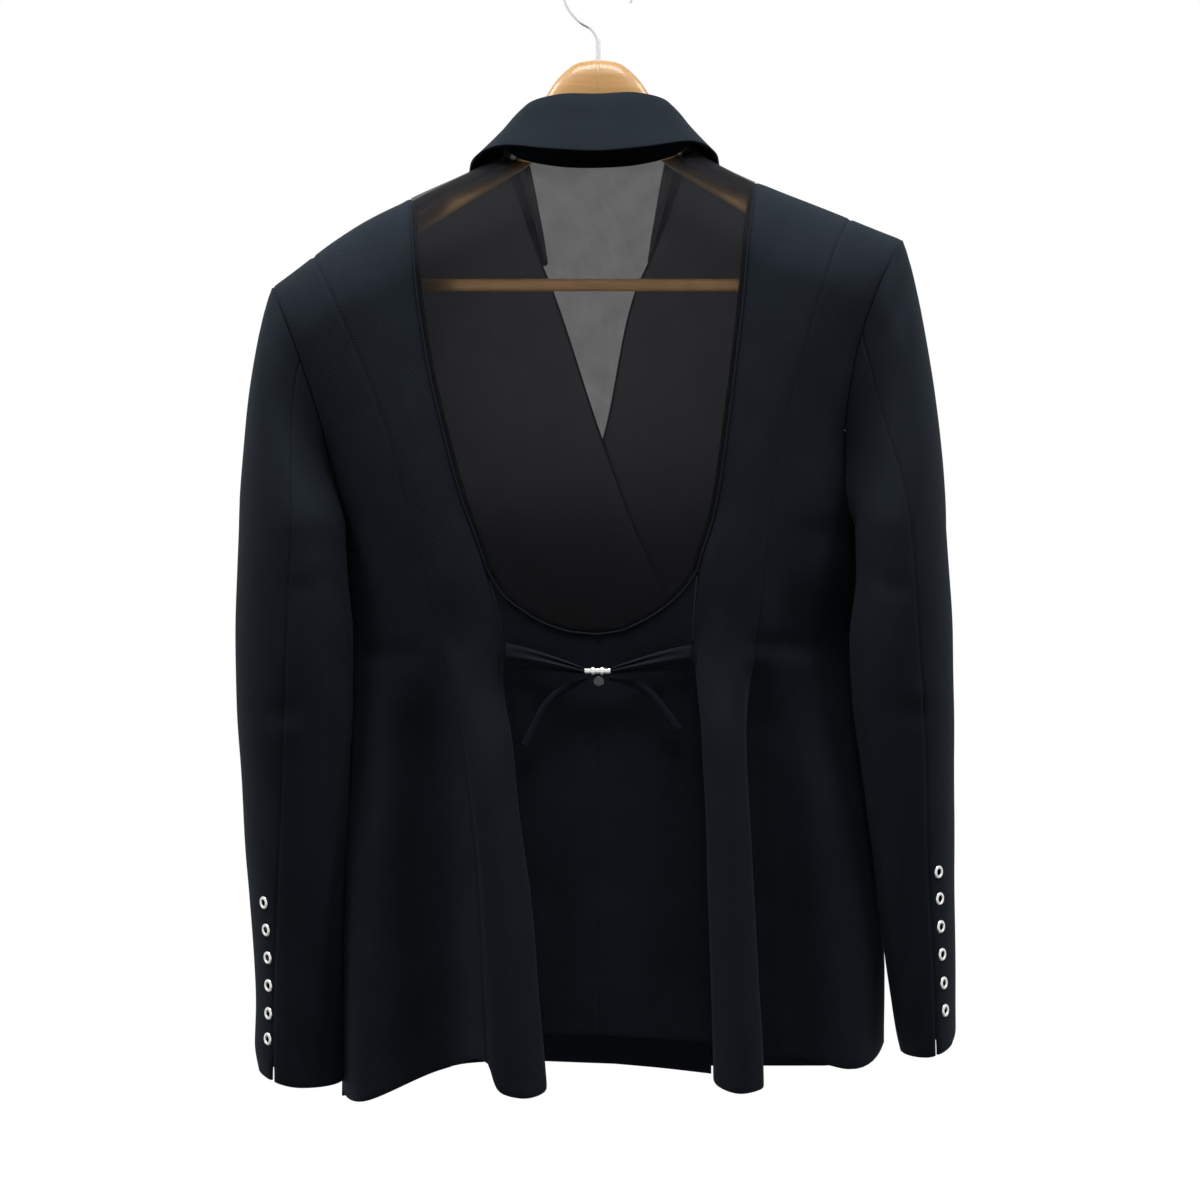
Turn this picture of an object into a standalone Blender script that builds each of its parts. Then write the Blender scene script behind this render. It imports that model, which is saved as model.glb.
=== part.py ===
"""Tailored jacket hanging on a wooden hanger, seen and measured from its back.

Lengths are in millimetres and turn into metres when a mesh is made. +Z is up, +Y is the
jacket's back and +X the wearer's left. The origin is where the hook hangs on its rail.

The outline was measured in the plane y = 0 as it looks from VIEW_DISTANCE behind the
jacket. true_place() moves every cloth point from that picture plane to its real place.
"""

import math

import bpy
import numpy as np
from mathutils import Vector

MM = 0.001
VIEW_DISTANCE = 2200.0
VIEW_X, VIEW_Z = -1.5, -480.0

CLOTH = 1.6
MESH_CLOTH = 1.0
LINING = 1.0
LINING_GAP, LINING_EDGE = 0.8, 1.5
SEAM_GAP = 0.2
PIECED_GAP = 1.1
LOWER_GAP = 2.8
SIDE_GAP = 0.55
INSET_HALF, SHOULDER_STEPS = 8, 3
ARMHOLE_GAP = 1.4
LEFT, RIGHT = 1, -1
SIDE_NAME = {LEFT: "left", RIGHT: "right"}

SHOULDER_SEAM_Y = -4.0
SHOULDER_DROP = 60.0

# Shoulder line: distance from the centre, height.
SHOULDER = {
    LEFT: (
        (0, -117), (71, -145), (92, -156.5), (140, -178.5),
        (187, -203.5), (220, -227), (242, -244), (262, -262),
    ),
    RIGHT: (
        (0, -113), (69, -139), (88, -152), (118, -166.5),
        (166, -185), (212, -203.5), (228, -210), (248, -224),
    ),
}

# Back sections, distance from the centre. Columns of a row: height, inner edge (the U, then the
# seam beside the flute), flute's inner side, crest, outer side, princess seam, valley, flank,
# armhole or side seam.
BACK_X = {
    LEFT: (
        (-180, 140.5, 164, 188, 211, 235, 244, 253, 262),
        (-228, 138, 156, 174, 193, 211, 224, 237, 250),
        (-296, 129, 142, 155, 167, 180, 195, 210, 225),
        (-352, 116.5, 127, 138, 148, 159, 175, 191, 207),
        (-405, 102, 113, 123, 134, 144.5, 162, 179, 195),
        (-424, 95, 107, 118, 129, 140, 157, 173, 191),
        (-456, 84, 96, 108, 120, 130.5, 149, 168, 190),
        (-513, 71.3, 82, 94, 106, 119, 138, 167, 186),
        (-536, 71, 79, 90, 102, 113.5, 135, 168, 185.5),
        (-587, 66, 65.3, 83, 94, 101, 128, 168, 186.5),
        (-635, 63.5, 60.5, 78, 89, 95.3, 125, 168, 188.5),
        (-705, 60, 51.5, 69, 82, 89, 121, 171, 191),
        (-768, 57.5, 46, 64, 78, 86.3, 119, 172, 192),
        (-845, 54, 40.5, 59, 73, 82.5, 116, 171, 192),
    ),
    RIGHT: (
        (-171, 117.8, 140, 163, 186, 209, 220, 232, 244),
        (-202, 113.5, 131, 149, 167, 184.5, 200, 216, 232),
        (-247, 109.5, 124, 139, 153, 168, 182, 196, 209.5),
        (-305, 103, 115, 127, 139, 151, 165, 179, 192),
        (-364, 95.5, 106, 117, 127, 137, 153, 169, 185),
        (-412, 88, 97.5, 107.5, 118, 129, 148, 168, 188),
        (-430, 83, 93, 104, 115, 127, 145, 164, 195),
        (-457, 75, 87, 99, 112, 124.5, 143, 168, 195),
        (-517, 71.3, 80, 93, 106, 118.5, 137, 163, 191),
        (-536, 74, 74.5, 92, 107, 116, 136, 163, 192),
        (-578, 82, 78.5, 96, 109.5, 113, 134, 165, 196),
        (-635, 86, 81.3, 98, 112.5, 113.5, 136, 172, 203.5),
        (-705, 90, 84.5, 100.5, 116.5, 117, 138, 180, 211.5),
        (-758, 92, 86.5, 103, 119.5, 119.5, 140, 184, 215),
        (-850, 94, 89.5, 106, 122.5, 123, 142, 188, 214),
    ),
}

# The same sections, distance behind the plane y = 0.
BACK_Y = {
    LEFT: (
        (-180, 50, 50, 49, 47, 45, 43, 40, 36),
        (-228, 52, 52, 52, 51, 49, 46, 42, 36),
        (-296, 54, 55, 55, 54, 52, 48, 42, 33),
        (-352, 55, 56, 57, 56, 54, 49, 40, 26),
        (-405, 54, 56, 57, 57, 54, 47, 33, -2),
        (-424, 53, 56, 57, 57, 54, 46, 32, -17),
        (-456, 50, 54, 56, 56, 53, 45, 31, -25),
        (-513, 42, 48, 51, 51, 49, 40, 25, -27),
        (-536, 39, 47, 52, 53, 49, 38, 27, -28),
        (-587, 35, 49, 60, 59, 53, 29, 32, -32),
        (-635, 33, 52, 66, 64, 57, 24, 38, -36),
        (-705, 31, 57, 73, 70, 62, 24.3, 43, -40),
        (-768, 32, 62, 80, 76, 67, 24.5, 47, -42),
        (-845, 34, 70, 88, 83, 72, 25, 51, -43),
    ),
    RIGHT: (
        (-171, 50, 50, 49, 47, 45, 43, 40, 36),
        (-202, 52, 52, 51, 49, 47, 45, 42, 37),
        (-247, 54, 55, 55, 53, 51, 47, 42, 35),
        (-305, 55, 56, 56, 55, 52, 46, 39, 29),
        (-364, 55, 56, 57, 56, 52, 44, 34, 17),
        (-412, 53, 55, 56, 56, 52, 43, 31, -2),
        (-430, 52, 55, 56, 56, 52, 42, 30, -20),
        (-457, 50, 53, 55, 55, 51, 39, 25, -25),
        (-517, 43, 48, 52, 51, 46, 29, 13, -27),
        (-536, 40, 49, 54, 52, 40, 29, 15, -28),
        (-578, 36, 54, 63, 54, 30, 27, 24, -30),
        (-635, 33, 56, 68, 57, 28, 27, 33, -33),
        (-705, 31, 60, 74, 62, 28, 28, 38, -37),
        (-758, 31, 64, 79, 66, 29, 30, 42, -38),
        (-850, 33, 72, 88, 74, 32, 36, 47, -39),
    ),
}
EDGE, PRINCESS, SIDE = 0, 4, 7

UNDERARM_Z = {LEFT: -405.0, RIGHT: -412.0}
# Height of the hem at each back column, in the order of BACK_X.
HEM_Z = {
    LEFT: (-812, -849, -854, -850, -828, -832, -855, -847),
    RIGHT: (-812, -844, -850.5, -847, -826, -823, -832, -812),
}

# Lower edge of the sheer inset, from the inner edge of each side to the centre: distance, height.
U_BOTTOM = {
    LEFT: ((84, -456), (72.8, -474.8), (56.3, -488.3), (37.5, -498.8), (18, -504.3), (0, -505.8)),
    RIGHT: ((75, -457), (66, -470.3), (54, -482.3), (32.3, -496.5), (15, -503.6), (0, -505.8)),
}
U_CORNER_Z = {LEFT: -456.0, RIGHT: -457.0}
NECK_LINE = ((71, -147.5), (52, -151.5), (0, -153), (-50, -149.5), (-69, -142.5))
NECK_HALF = {LEFT: 71, RIGHT: 69}
CENTRE_HEM_Z, LOWER_HEM_Z = -806.0, {LEFT: -806.0, RIGHT: -812.0}

# Front: height, half width to the wearer's left and right above the underarm, distance of the
# middle in front of the centre plane.
FRONT_SECTION = (
    (-140, 232, 222, 48),
    (-240, 232, 222, 62),
    (-340, 216, 206, 72),
    (-405, 195, 190, 74),
    (-412, 194, 188, 74),
    (-456, 190, 195, 74),
    (-520, 186, 191, 70),
    (-600, 188, 198, 70),
    (-700, 192, 211, 75),
    (-768, 193, 215, 81),
    (-860, 193, 214, 88),
)
FRONT_SQUARENESS = 2.5
ARMHOLE_SCOOP = 7.0
OVERLAP_STEP = 5.5

# Inner edge of each front, the neck seam, then the roll line, then the free edge: height,
# distance from the centre towards its own side.
FRONT_EDGE = {
    LEFT: (
        (-148, 71), (-180, 59), (-231, 41), (-248, 34), (-361, -4),
        (-439, -34), (-500, -65), (-540, -84), (-580, -85), (-850, -85),
    ),
    RIGHT: (
        (-143, 69), (-180, 57), (-221, 41), (-255, 26), (-361, 3),
        (-445, -31), (-505, -63), (-545, -84), (-590, -85), (-850, -85),
    ),
}
# Hem of the fronts: distance from the centre on the front's own side, height.
FRONT_HEM = {
    LEFT: (
        (-85, -835), (-50, -831), (0, -826.5), (28, -824),
        (96, -827), (120, -832), (150, -842), (193, -852),
    ),
    RIGHT: ((-85, -824), (85, -829), (170, -829), (214, -812)),
}

# Sleeve sections: height, outer side, inner side, middle y, half depth.
SLEEVE = {
    LEFT: (
        (-425, 269.3, 190.5, 4, 58),
        (-463, 270.8, 187, 3, 57),
        (-511, 272.5, 183.5, 2, 56),
        (-559, 271, 183.7, 0, 54),
        (-607, 268, 186, -3, 52),
        (-667, 264.3, 188.5, -6, 50),
        (-701, 261.3, 190, -8, 49),
        (-749, 258, 190.5, -10, 47),
        (-788, 256.7, 190.5, -12, 46),
        (-818, 257, 190.5, -13, 45),
        (-850, 252, 190.5, -14, 45),
    ),
    RIGHT: (
        (-425, 261.5, 195.5, 4, 56),
        (-463, 263.8, 193.5, 3, 55),
        (-511, 266.5, 188.5, 2, 54),
        (-559, 267.5, 191, 0, 52),
        (-607, 267, 197, -3, 50),
        (-667, 267.3, 205.5, -6, 48),
        (-730, 267.5, 212.3, -9, 46),
        (-778, 268.3, 219.5, -11, 45),
        (-806, 268.5, 223.5, -12, 44),
        (-830, 262, 229, -12, 43),
    ),
}
SLEEVE_HEM_Z = {LEFT: -841.0, RIGHT: -818.5}
# Back seam of the sleeve: height, distance from the centre, from the armhole down.
SLEEVE_SEAM = {
    LEFT: (
        (-301, 223.5), (-315, 227), (-345, 229.5), (-425, 230.5), (-482, 233),
        (-559, 235.5), (-667, 239.3), (-760, 243), (-841, 244),
    ),
    RIGHT: (
        (-298, 202.5), (-345, 214.8), (-388, 228.2), (-425, 235), (-475, 239),
        (-511, 241), (-587, 246), (-667, 247.5), (-760, 252), (-819, 255),
    ),
}
SEAM_SEARCH = (55.0, 135.0)
FRONT_SEAM_ANGLE = -112.0
# How much less the cap stands out at its outer side, and how much higher the cuff is there.
CAP_SLIM, CUFF_RISE = {LEFT: 0.38, RIGHT: 0.5}, 7.0
VENT_LENGTH, VENT_OPENING = 32.0, 1.8

# Eyelets: height, distance from the centre.
EYELET_SPOTS = {
    LEFT: ((-707, 250.5), (-727, 248.8), (-747, 247.5), (-767, 247), (-787.5, 247), (-808, 247.5)),
    RIGHT: ((-684, 255.3), (-704, 256.2), (-724.5, 257), (-744.5, 258), (-765, 259.2), (-785, 260.3)),
}
EYELET_FLANGE_R, EYELET_BORE_R, EYELET_BARREL_R = 4.9, 2.4, 3.0
EYELET_HOLE_R = 3.4
EYELET_LIFT = 0.5


# ---------------------------------------------------------------- curves and sheets

def read_table(rows, at):
    """Every column of a table at the given heights, joined by a monotone cubic."""
    data = np.array(sorted(rows), float)
    knots, values = data[:, 0], data[:, 1:]
    steps = np.diff(knots)[:, None]
    slopes = np.diff(values, axis=0) / steps
    tangents = np.zeros_like(values)
    tangents[0], tangents[-1] = slopes[0], slopes[-1]
    before, after = slopes[:-1], slopes[1:]
    same_way = before * after > 0
    weight = (2 * steps[1:] + steps[:-1], steps[1:] + 2 * steps[:-1])
    safe = [np.where(same_way, part, 1.0) for part in (before, after)]
    mean = (weight[0] + weight[1]) / (weight[0] / safe[0] + weight[1] / safe[1])
    tangents[1:-1] = np.where(same_way, mean, 0.0)
    at = np.asarray(at, float)
    inside = np.clip(at, knots[0], knots[-1])
    k = np.clip(np.searchsorted(knots, inside) - 1, 0, len(knots) - 2)
    step = steps[k][..., 0]
    s = ((inside - knots[k]) / step)[..., None]
    step = step[..., None]
    found = (
        (1 + 2 * s) * (1 - s) ** 2 * values[k]
        + s * (1 - s) ** 2 * step * tangents[k]
        + s * s * (3 - 2 * s) * values[k + 1]
        + s * s * (s - 1) * step * tangents[k + 1]
    )
    beyond = (at - inside)[..., None]
    return found + beyond * np.where(beyond < 0, tangents[0], tangents[-1])


def across(columns, u, end_direction=None, end_weight=0.0):
    """Smooth curve over columns[k] (each an array of points), read at parameters u."""
    points = np.asarray(columns, float)
    legs = np.diff(points, axis=0)
    length = np.maximum(np.linalg.norm(legs, axis=-1, keepdims=True), 1e-6)
    direction = legs / length
    tangents = np.empty_like(points)
    both = length[:-1] + length[1:]
    tangents[1:-1] = (direction[:-1] * length[1:] + direction[1:] * length[:-1]) / both
    tangents[0], tangents[-1] = direction[0], direction[-1]
    if end_direction is not None:
        weight = np.asarray(end_weight)[..., None]
        tangents[-1] = tangents[-1] * (1 - weight) + np.array(end_direction) * weight
    u = np.asarray(u, float)
    k = np.clip(u.astype(int), 0, len(points) - 2)
    s = (u - k)[:, None, None]
    return (
        (1 + 2 * s) * (1 - s) ** 2 * points[k]
        + s * (1 - s) ** 2 * length[k] * tangents[k]
        + s * s * (3 - 2 * s) * points[k + 1]
        + s * s * (s - 1) * length[k] * tangents[k + 1]
    )


def smoothstep(value):
    value = np.clip(value, 0.0, 1.0)
    return value * value * (3 - 2 * value)


def true_place(points):
    """Moves points from the picture plane to their real place behind or before it."""
    points = np.array(points, float)
    nearer = 1 - points[..., 1] / VIEW_DISTANCE
    points[..., 0] = VIEW_X + (points[..., 0] - VIEW_X) * nearer
    points[..., 2] = VIEW_Z + (points[..., 2] - VIEW_Z) * nearer
    return points


def inset(grid, first_row=0.0, last_row=0.0, first_column=0.0, last_column=0.0):
    """Draws the borders of a grid in by these lengths, which leaves the seam gaps."""
    grid = np.array(grid, float)
    for amount, border, inner in (
        (first_row, grid[0], grid[1]),
        (last_row, grid[-1], grid[-2]),
        (first_column, grid[:, 0], grid[:, 1]),
        (last_column, grid[:, -1], grid[:, -2]),
    ):
        way = inner - border
        border += way / np.maximum(np.linalg.norm(way, axis=-1, keepdims=True), 1e-6) * amount
    return grid


def normals_of(grid):
    down = np.gradient(grid, axis=0)
    along = np.gradient(grid, axis=1)
    normal = np.cross(down, along)
    return normal / np.maximum(np.linalg.norm(normal, axis=-1, keepdims=True), 1e-9)


def facing(grid, outward):
    """The grid's normals, all on the side that outward points to at its middle."""
    normal = normals_of(grid)
    middle = normal[normal.shape[0] // 2, normal.shape[1] // 2]
    return normal if np.dot(middle, outward) > 0 else -normal


def grid_mesh(name, grid, outward):
    """Open mesh over a grid of points, its faces turned to the outward side."""
    rows, columns = grid.shape[:2]
    faces = [
        (r * columns + c, r * columns + c + 1, (r + 1) * columns + c + 1, (r + 1) * columns + c)
        for r in range(rows - 1)
        for c in range(columns - 1)
    ]
    middle = normals_of(grid)[rows // 2, columns // 2]
    if np.dot(middle, outward) > 0:
        faces = [face[::-1] for face in faces]
    mesh = bpy.data.meshes.new(name)
    mesh.from_pydata((grid.reshape(-1, 3) * MM).tolist(), [], faces)
    return mesh


def material(name, color, roughness, metallic=0.0):
    made = bpy.data.materials.get(name) or bpy.data.materials.new(name)
    made.use_nodes = True
    shader = made.node_tree.nodes["Principled BSDF"]
    shader.inputs["Base Color"].default_value = (*color, 1.0)
    shader.inputs["Roughness"].default_value = roughness
    shader.inputs["Metallic"].default_value = metallic
    return made


def suiting(name):
    return material(name + "_suiting", (0.022, 0.03, 0.034), 0.85)


def steel(name):
    return material(name + "_steel", (0.62, 0.62, 0.6), 0.25, 1.0)


def place(collection, name, data, look):
    part = bpy.data.objects.new(name, data)
    collection.objects.link(part)
    data.materials.append(look)
    return part


def sheet(collection, name, grid, thickness, outward, look=None):
    """A cloth wall whose outer face is the grid, given in the picture plane."""
    part = place(collection, name, grid_mesh(name, true_place(grid), outward), look or suiting(name))
    wall = part.modifiers.new("wall", "SOLIDIFY")
    wall.thickness = thickness * MM
    wall.offset = -1.0
    return part


# ---------------------------------------------------------------- the body's surfaces

def shoulder_z(side, distance):
    return read_table(SHOULDER[side], distance)[..., 0]


def shoulder_round(side, x, y, z):
    """Rounds a body surface over the shoulder, down to its full depth at SHOULDER_DROP."""
    drop = np.clip((shoulder_z(side, np.abs(x)) - z) / SHOULDER_DROP, 0.0, 1.0)
    return SHOULDER_SEAM_Y + (y - SHOULDER_SEAM_Y) * np.sqrt(1 - (1 - drop) ** 2)


def back_column_tops(side):
    """Height where each back column reaches the shoulder line."""
    tops = np.full(8, -220.0)
    for _ in range(20):
        x = np.diagonal(read_table(BACK_X[side], tops))
        tops = 0.5 * tops + 0.5 * shoulder_z(side, x)
    return tops


def row_heights(tops, underarm, hems, rows):
    """Heights at rows 0 (shoulder) to 1 (underarm) to 2 (hem), as [column][row]."""
    tops, hems = (np.array(heights, float)[:, None] for heights in (tops, hems))
    upper = tops + (underarm - tops) * np.clip(rows, 0, 1)
    return upper + (hems - underarm) * np.clip(np.asarray(rows, float) - 1, 0, 1)


def back_points(side, rows, u):
    """The back of one side at rows and column parameters u, as [u][row] points."""
    z = row_heights(back_column_tops(side), UNDERARM_Z[side], HEM_Z[side], rows)
    x, y = np.empty_like(z), np.empty_like(z)
    for k in range(len(z)):
        x[k] = read_table(BACK_X[side], z[k])[:, k]
        y[k] = shoulder_round(side, x[k], read_table(BACK_Y[side], z[k])[:, k], z[k])
    columns = np.stack([x, y, z], axis=-1)
    rounding = smoothstep((np.asarray(rows, float) - 0.7) / 0.3)
    found = across(columns, u, (0, -1, 0), rounding)
    found[..., 0] *= side
    found[:, np.asarray(rows) == 0, 1] = SHOULDER_SEAM_Y
    return found


def inner_edge(side, z):
    """Inner edge of the back at heights z, from the shoulder to the U corner and on down."""
    z = np.asarray(z, float)
    x = read_table(BACK_X[side], z)[..., EDGE]
    y = shoulder_round(side, x, read_table(BACK_Y[side], z)[..., EDGE], z)
    return np.stack([side * x, y, z], axis=-1)


def inset_y(x, z):
    """Depth of the sheer inset and of the centre panels, hung between the two inner edges."""
    flat = [read_table(BACK_Y[side], z)[..., EDGE] for side in (LEFT, RIGHT)]
    reach = [read_table(BACK_X[side], z)[..., EDGE] for side in (LEFT, RIGHT)]
    share = np.clip((x + reach[1]) / (reach[0] + reach[1]), 0, 1)
    depth = flat[0] * share + flat[1] * (1 - share) + 14.0 * share * (1 - share)
    left = shoulder_round(LEFT, x, depth, z)
    right = shoulder_round(RIGHT, x, depth, z)
    return np.where(np.asarray(x) > 0, left, right)


def front_half_width(x, z):
    """Half width of the front body: the side seam's below the underarm, a table's above."""
    section = read_table(FRONT_SECTION, z)
    found = []
    for side, above in ((LEFT, section[..., 0]), (RIGHT, section[..., 1])):
        below = read_table(BACK_X[side], z)[..., SIDE]
        found.append(np.where(np.asarray(z) < UNDERARM_Z[side], below, above))
    return np.where(np.asarray(x) > 0, *found)


def front_y(x, z):
    """Outer face of the front body at x and z, without the overlap's step."""
    wide = front_half_width(x, z)
    power = FRONT_SQUARENESS
    side_y = np.where(
        np.asarray(x) > 0,
        *(read_table(BACK_Y[side], np.minimum(z, UNDERARM_Z[side]))[..., SIDE] for side in (LEFT, RIGHT)),
    )
    rise = (1 - np.clip(np.abs(x) / wide, 0, 1) ** power) ** (1 / power)
    flat = side_y * (1 - rise) - read_table(FRONT_SECTION, z)[..., 2] * rise
    left = shoulder_round(LEFT, x, flat, z)
    return np.where(np.asarray(x) > 0, left, shoulder_round(RIGHT, x, flat, z))


def overlap_step(x, z):
    """How far the outer front stands off the under front."""
    return OVERLAP_STEP * smoothstep((x + 130) / 35) * smoothstep((-z - 205) / 110)


def front_angle(reach, wide):
    """Angle round the front section, 0 at the side and 90 degrees at the centre."""
    share = np.clip(reach / wide, -1, 1)
    return np.arccos(np.sign(share) * np.abs(share) ** (FRONT_SQUARENESS / 2))


def front_reach(side, top_z, q):
    """Distance from the centre along the front's shoulder edge."""
    ends = (read_table(BACK_X[side], top_z[0])[SIDE], read_table(FRONT_EDGE[side], top_z[1])[0])
    wide = FRONT_SECTION[0][1 if side == LEFT else 2]
    start, finish = (front_angle(end, max(wide, ends[0])) for end in ends)
    return np.cos(start + (finish - start) * q) ** (2 / FRONT_SQUARENESS) * max(wide, ends[0])


def front_points(side, rows, q):
    """One front at rows and shares q from its side (0) to its inner edge (1), as [row][q]."""
    rows, q = np.asarray(rows, float), np.asarray(q, float)
    top = back_column_tops(side)[SIDE]
    outer_hem, inner_hem = FRONT_HEM[side][-1][1], FRONT_HEM[side][0][1]
    neck = FRONT_EDGE[side][0][0]
    z_side, z_edge = row_heights((top, neck), UNDERARM_Z[side], (outer_hem, inner_hem), rows)
    scoop = ARMHOLE_SCOOP * np.sin(math.pi * np.clip(rows, 0, 1)) ** 2
    reach_side = read_table(BACK_X[side], z_side)[:, SIDE] - scoop
    reach_edge = read_table(FRONT_EDGE[side], z_edge)[:, 0]
    wide_side = np.maximum(front_half_width(side * np.ones_like(z_side), z_side), reach_side)
    wide_edge = front_half_width(side * np.sign(reach_edge), z_edge)
    start = front_angle(reach_side, wide_side)
    finish = front_angle(reach_edge, wide_edge)
    angle = start[:, None] + (finish - start)[:, None] * q
    z = z_side[:, None] + (z_edge - z_side)[:, None] * smoothstep(q)
    share = np.sign(np.cos(angle)) * np.abs(np.cos(angle)) ** (2 / FRONT_SQUARENESS)
    x = side * share * front_half_width(side * np.sign(share), z)
    top_z = row_heights((top, neck), UNDERARM_Z[side], (outer_hem, inner_hem), [0])[:, 0]
    line_z = top_z[0] + (top_z[1] - top_z[0]) * smoothstep(q)
    line_x = front_reach(side, (top_z[0], top_z[1]), q)
    z = z + (shoulder_z(side, line_x) - line_z) * np.clip(1 - rows, 0, 1)[:, None] ** 2
    hem_z = outer_hem + (inner_hem - outer_hem) * smoothstep(q)
    z = z + (read_table(FRONT_HEM[side], side * x)[..., 0] - hem_z) * np.clip(rows - 1, 0, 1)[:, None] ** 2
    y = front_y(x, z)
    if side == RIGHT:
        y = y - overlap_step(x, z)
    y[rows == 0] = SHOULDER_SEAM_Y
    return np.stack([x, y, z], axis=-1)


# ---------------------------------------------------------------- body pieces

BODY_ROWS = (
    0, 0.015, 0.06, 0.14, 0.28, 0.45, 0.62, 0.8, 1,
    1.1, 1.2, 1.27, 1.34, 1.44, 1.56, 1.68, 1.84, 2,
)


def back_sheet(collection, name, side, u):
    last_gap = SIDE_GAP if u[-1] == SIDE else SEAM_GAP
    grid = inset(back_points(side, BODY_ROWS, u).transpose(1, 0, 2), SIDE_GAP, 0, SEAM_GAP, last_gap)
    return sheet(collection, name, grid, CLOTH, (0, 1, 0))


def build_backs(collection):
    for side in (LEFT, RIGHT):
        name = SIDE_NAME[side]
        back_sheet(collection, f"back_inner_{name}", side, np.linspace(EDGE, PRINCESS, 13))
        back_sheet(collection, f"back_outer_{name}", side, np.linspace(PRINCESS, SIDE, 9))


def coons(top, bottom, left, right):
    """Surface between four border curves, as [down][across]; the corners meet."""
    down = np.linspace(0, 1, len(left))[:, None, None]
    over = np.linspace(0, 1, len(top))[None, :, None]
    lofted = (1 - down) * top + down * bottom + (1 - over) * left[:, None] + over * right[:, None]
    top_corners = (1 - over) * top[0] + over * top[-1]
    bottom_corners = (1 - over) * bottom[0] + over * bottom[-1]
    return lofted - (1 - down) * top_corners - down * bottom_corners


def along_outline(outline, count):
    """Points at even steps along an outline of (x, z) corners."""
    outline = np.array(outline, float)
    length = np.concatenate([[0], np.cumsum(np.linalg.norm(np.diff(outline, axis=0), axis=1))])
    at = np.linspace(0, length[-1], count)
    table = np.column_stack([length, outline])
    return read_table(table.tolist(), at)


def u_curve(side):
    """The U's lower edge from the inner edge to the centre, as (x, z) points."""
    curve = along_outline(U_BOTTOM[side], INSET_HALF + 1)
    curve[:, 0] *= side
    return curve


def build_inset(collection):
    rows, half = 13, INSET_HALF
    tops = {side: back_column_tops(side)[EDGE] for side in (LEFT, RIGHT)}
    ends = {side: (inner_edge(side, tops[side])[0], tops[side]) for side in (LEFT, RIGHT)}
    shoulder = {}
    for side in (LEFT, RIGHT):
        shoulder_x = np.linspace(abs(ends[side][0]), NECK_HALF[side], SHOULDER_STEPS + 1)[:-1]
        shoulder[side] = np.column_stack([side * shoulder_x, shoulder_z(side, shoulder_x)])
    neck = along_outline(NECK_LINE, 2 * (half - SHOULDER_STEPS) + 1)
    top = np.concatenate([shoulder[LEFT], neck, shoulder[RIGHT][::-1]])
    bottom = np.concatenate([u_curve(LEFT), u_curve(RIGHT)[-2::-1]])
    shares = np.linspace(0, 1, rows) ** 1.25
    borders = []
    for side in (LEFT, RIGHT):
        z = tops[side] + (U_CORNER_Z[side] - tops[side]) * shares
        borders.append(inner_edge(side, z)[:, [0, 2]])
    flat = coons(top, bottom, *borders)
    grid = np.stack([flat[..., 0], inset_y(flat[..., 0], flat[..., 1]), flat[..., 1]], axis=-1)
    grid[0, : SHOULDER_STEPS + 1, 1] = grid[0, -SHOULDER_STEPS - 1:, 1] = SHOULDER_SEAM_Y
    grid = inset(grid, SIDE_GAP, PIECED_GAP, PIECED_GAP, PIECED_GAP)
    look = material("back_inset_mesh", (0.012, 0.014, 0.018), 0.6)
    sheet(collection, "back_inset", grid, MESH_CLOTH, (0, 1, 0), look)


def build_back_lower(collection):
    rows = np.linspace(0, 1, 11)
    for side in (LEFT, RIGHT):
        top = u_curve(side)
        share = 1 - top[:, 0] / inner_edge(side, top[:, 1])[:, 0]
        hem = LOWER_HEM_Z[side] * (1 - share) + CENTRE_HEM_Z * share
        z = top[:, 1] + (hem - top[:, 1]) * rows[:, None]
        x = inner_edge(side, z)[..., 0] * (1 - share)
        grid = inset(np.stack([x, inset_y(x, z), z], axis=-1), 2 * PIECED_GAP, 0, LOWER_GAP, SEAM_GAP)
        sheet(collection, f"back_lower_{SIDE_NAME[side]}", grid, CLOTH, (0, 1, 0))


def build_fronts(collection):
    for side in (LEFT, RIGHT):
        name = SIDE_NAME[side]
        whole = front_points(side, BODY_ROWS, np.linspace(0, 1, 10))
        grid = inset(whole, SIDE_GAP, 0, SIDE_GAP, 0)
        sheet(collection, f"front_{name}", grid, CLOTH, (0, -1, 0))
        inner = whole - facing(whole, (0, -1, 0)) * (CLOTH + LINING_GAP)
        inner = inset(inner[1:-1, 1:], 0, 0, 0, LINING_EDGE)
        look = material(f"lining_{name}_satin", (0.035, 0.037, 0.042), 0.45)
        sheet(collection, f"lining_{name}", inner, LINING, (0, -1, 0), look)


# ---------------------------------------------------------------- sleeves

def armhole_points(side, angles):
    """The armhole, by angle: 0 at the shoulder, 90 at the back, 180 at the underarm."""
    rows = (1 - np.cos(np.radians(angles))) / 2
    back = back_points(side, rows, [SIDE])[0]
    front = front_points(side, rows, [0])[:, 0]
    front[:, 0] = side * np.abs(front[:, 0])
    at_back = np.sin(np.radians(angles)) >= -1e-9
    return np.where(at_back[:, None], back, front)


def sleeve_ring(side, angles, z):
    outer, inner, middle, half_depth = np.moveaxis(read_table(SLEEVE[side], z), -1, 0)
    turn = np.radians(angles)
    x = (outer + inner) / 2 + (outer - inner) / 2 * np.cos(turn)
    y = middle + half_depth * np.sin(turn)
    level = z + (z - VIEW_Z) * y / VIEW_DISTANCE * smoothstep((-z - 700) / 100)
    level = level + CUFF_RISE * np.clip(np.cos(turn), 0, 1) ** 2 * smoothstep((-z - 780) / 60)
    return np.stack([side * x, y, level], axis=-1)


def sleeve_angle(side, z, distance):
    """Angle on the back of the sleeve that lies at this distance from the centre."""
    outer, inner = np.moveaxis(read_table(SLEEVE[side], z), -1, 0)[:2]
    share = (distance - (outer + inner) / 2) / ((outer - inner) / 2)
    return np.degrees(np.arccos(np.clip(share, -1, 1)))


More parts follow.
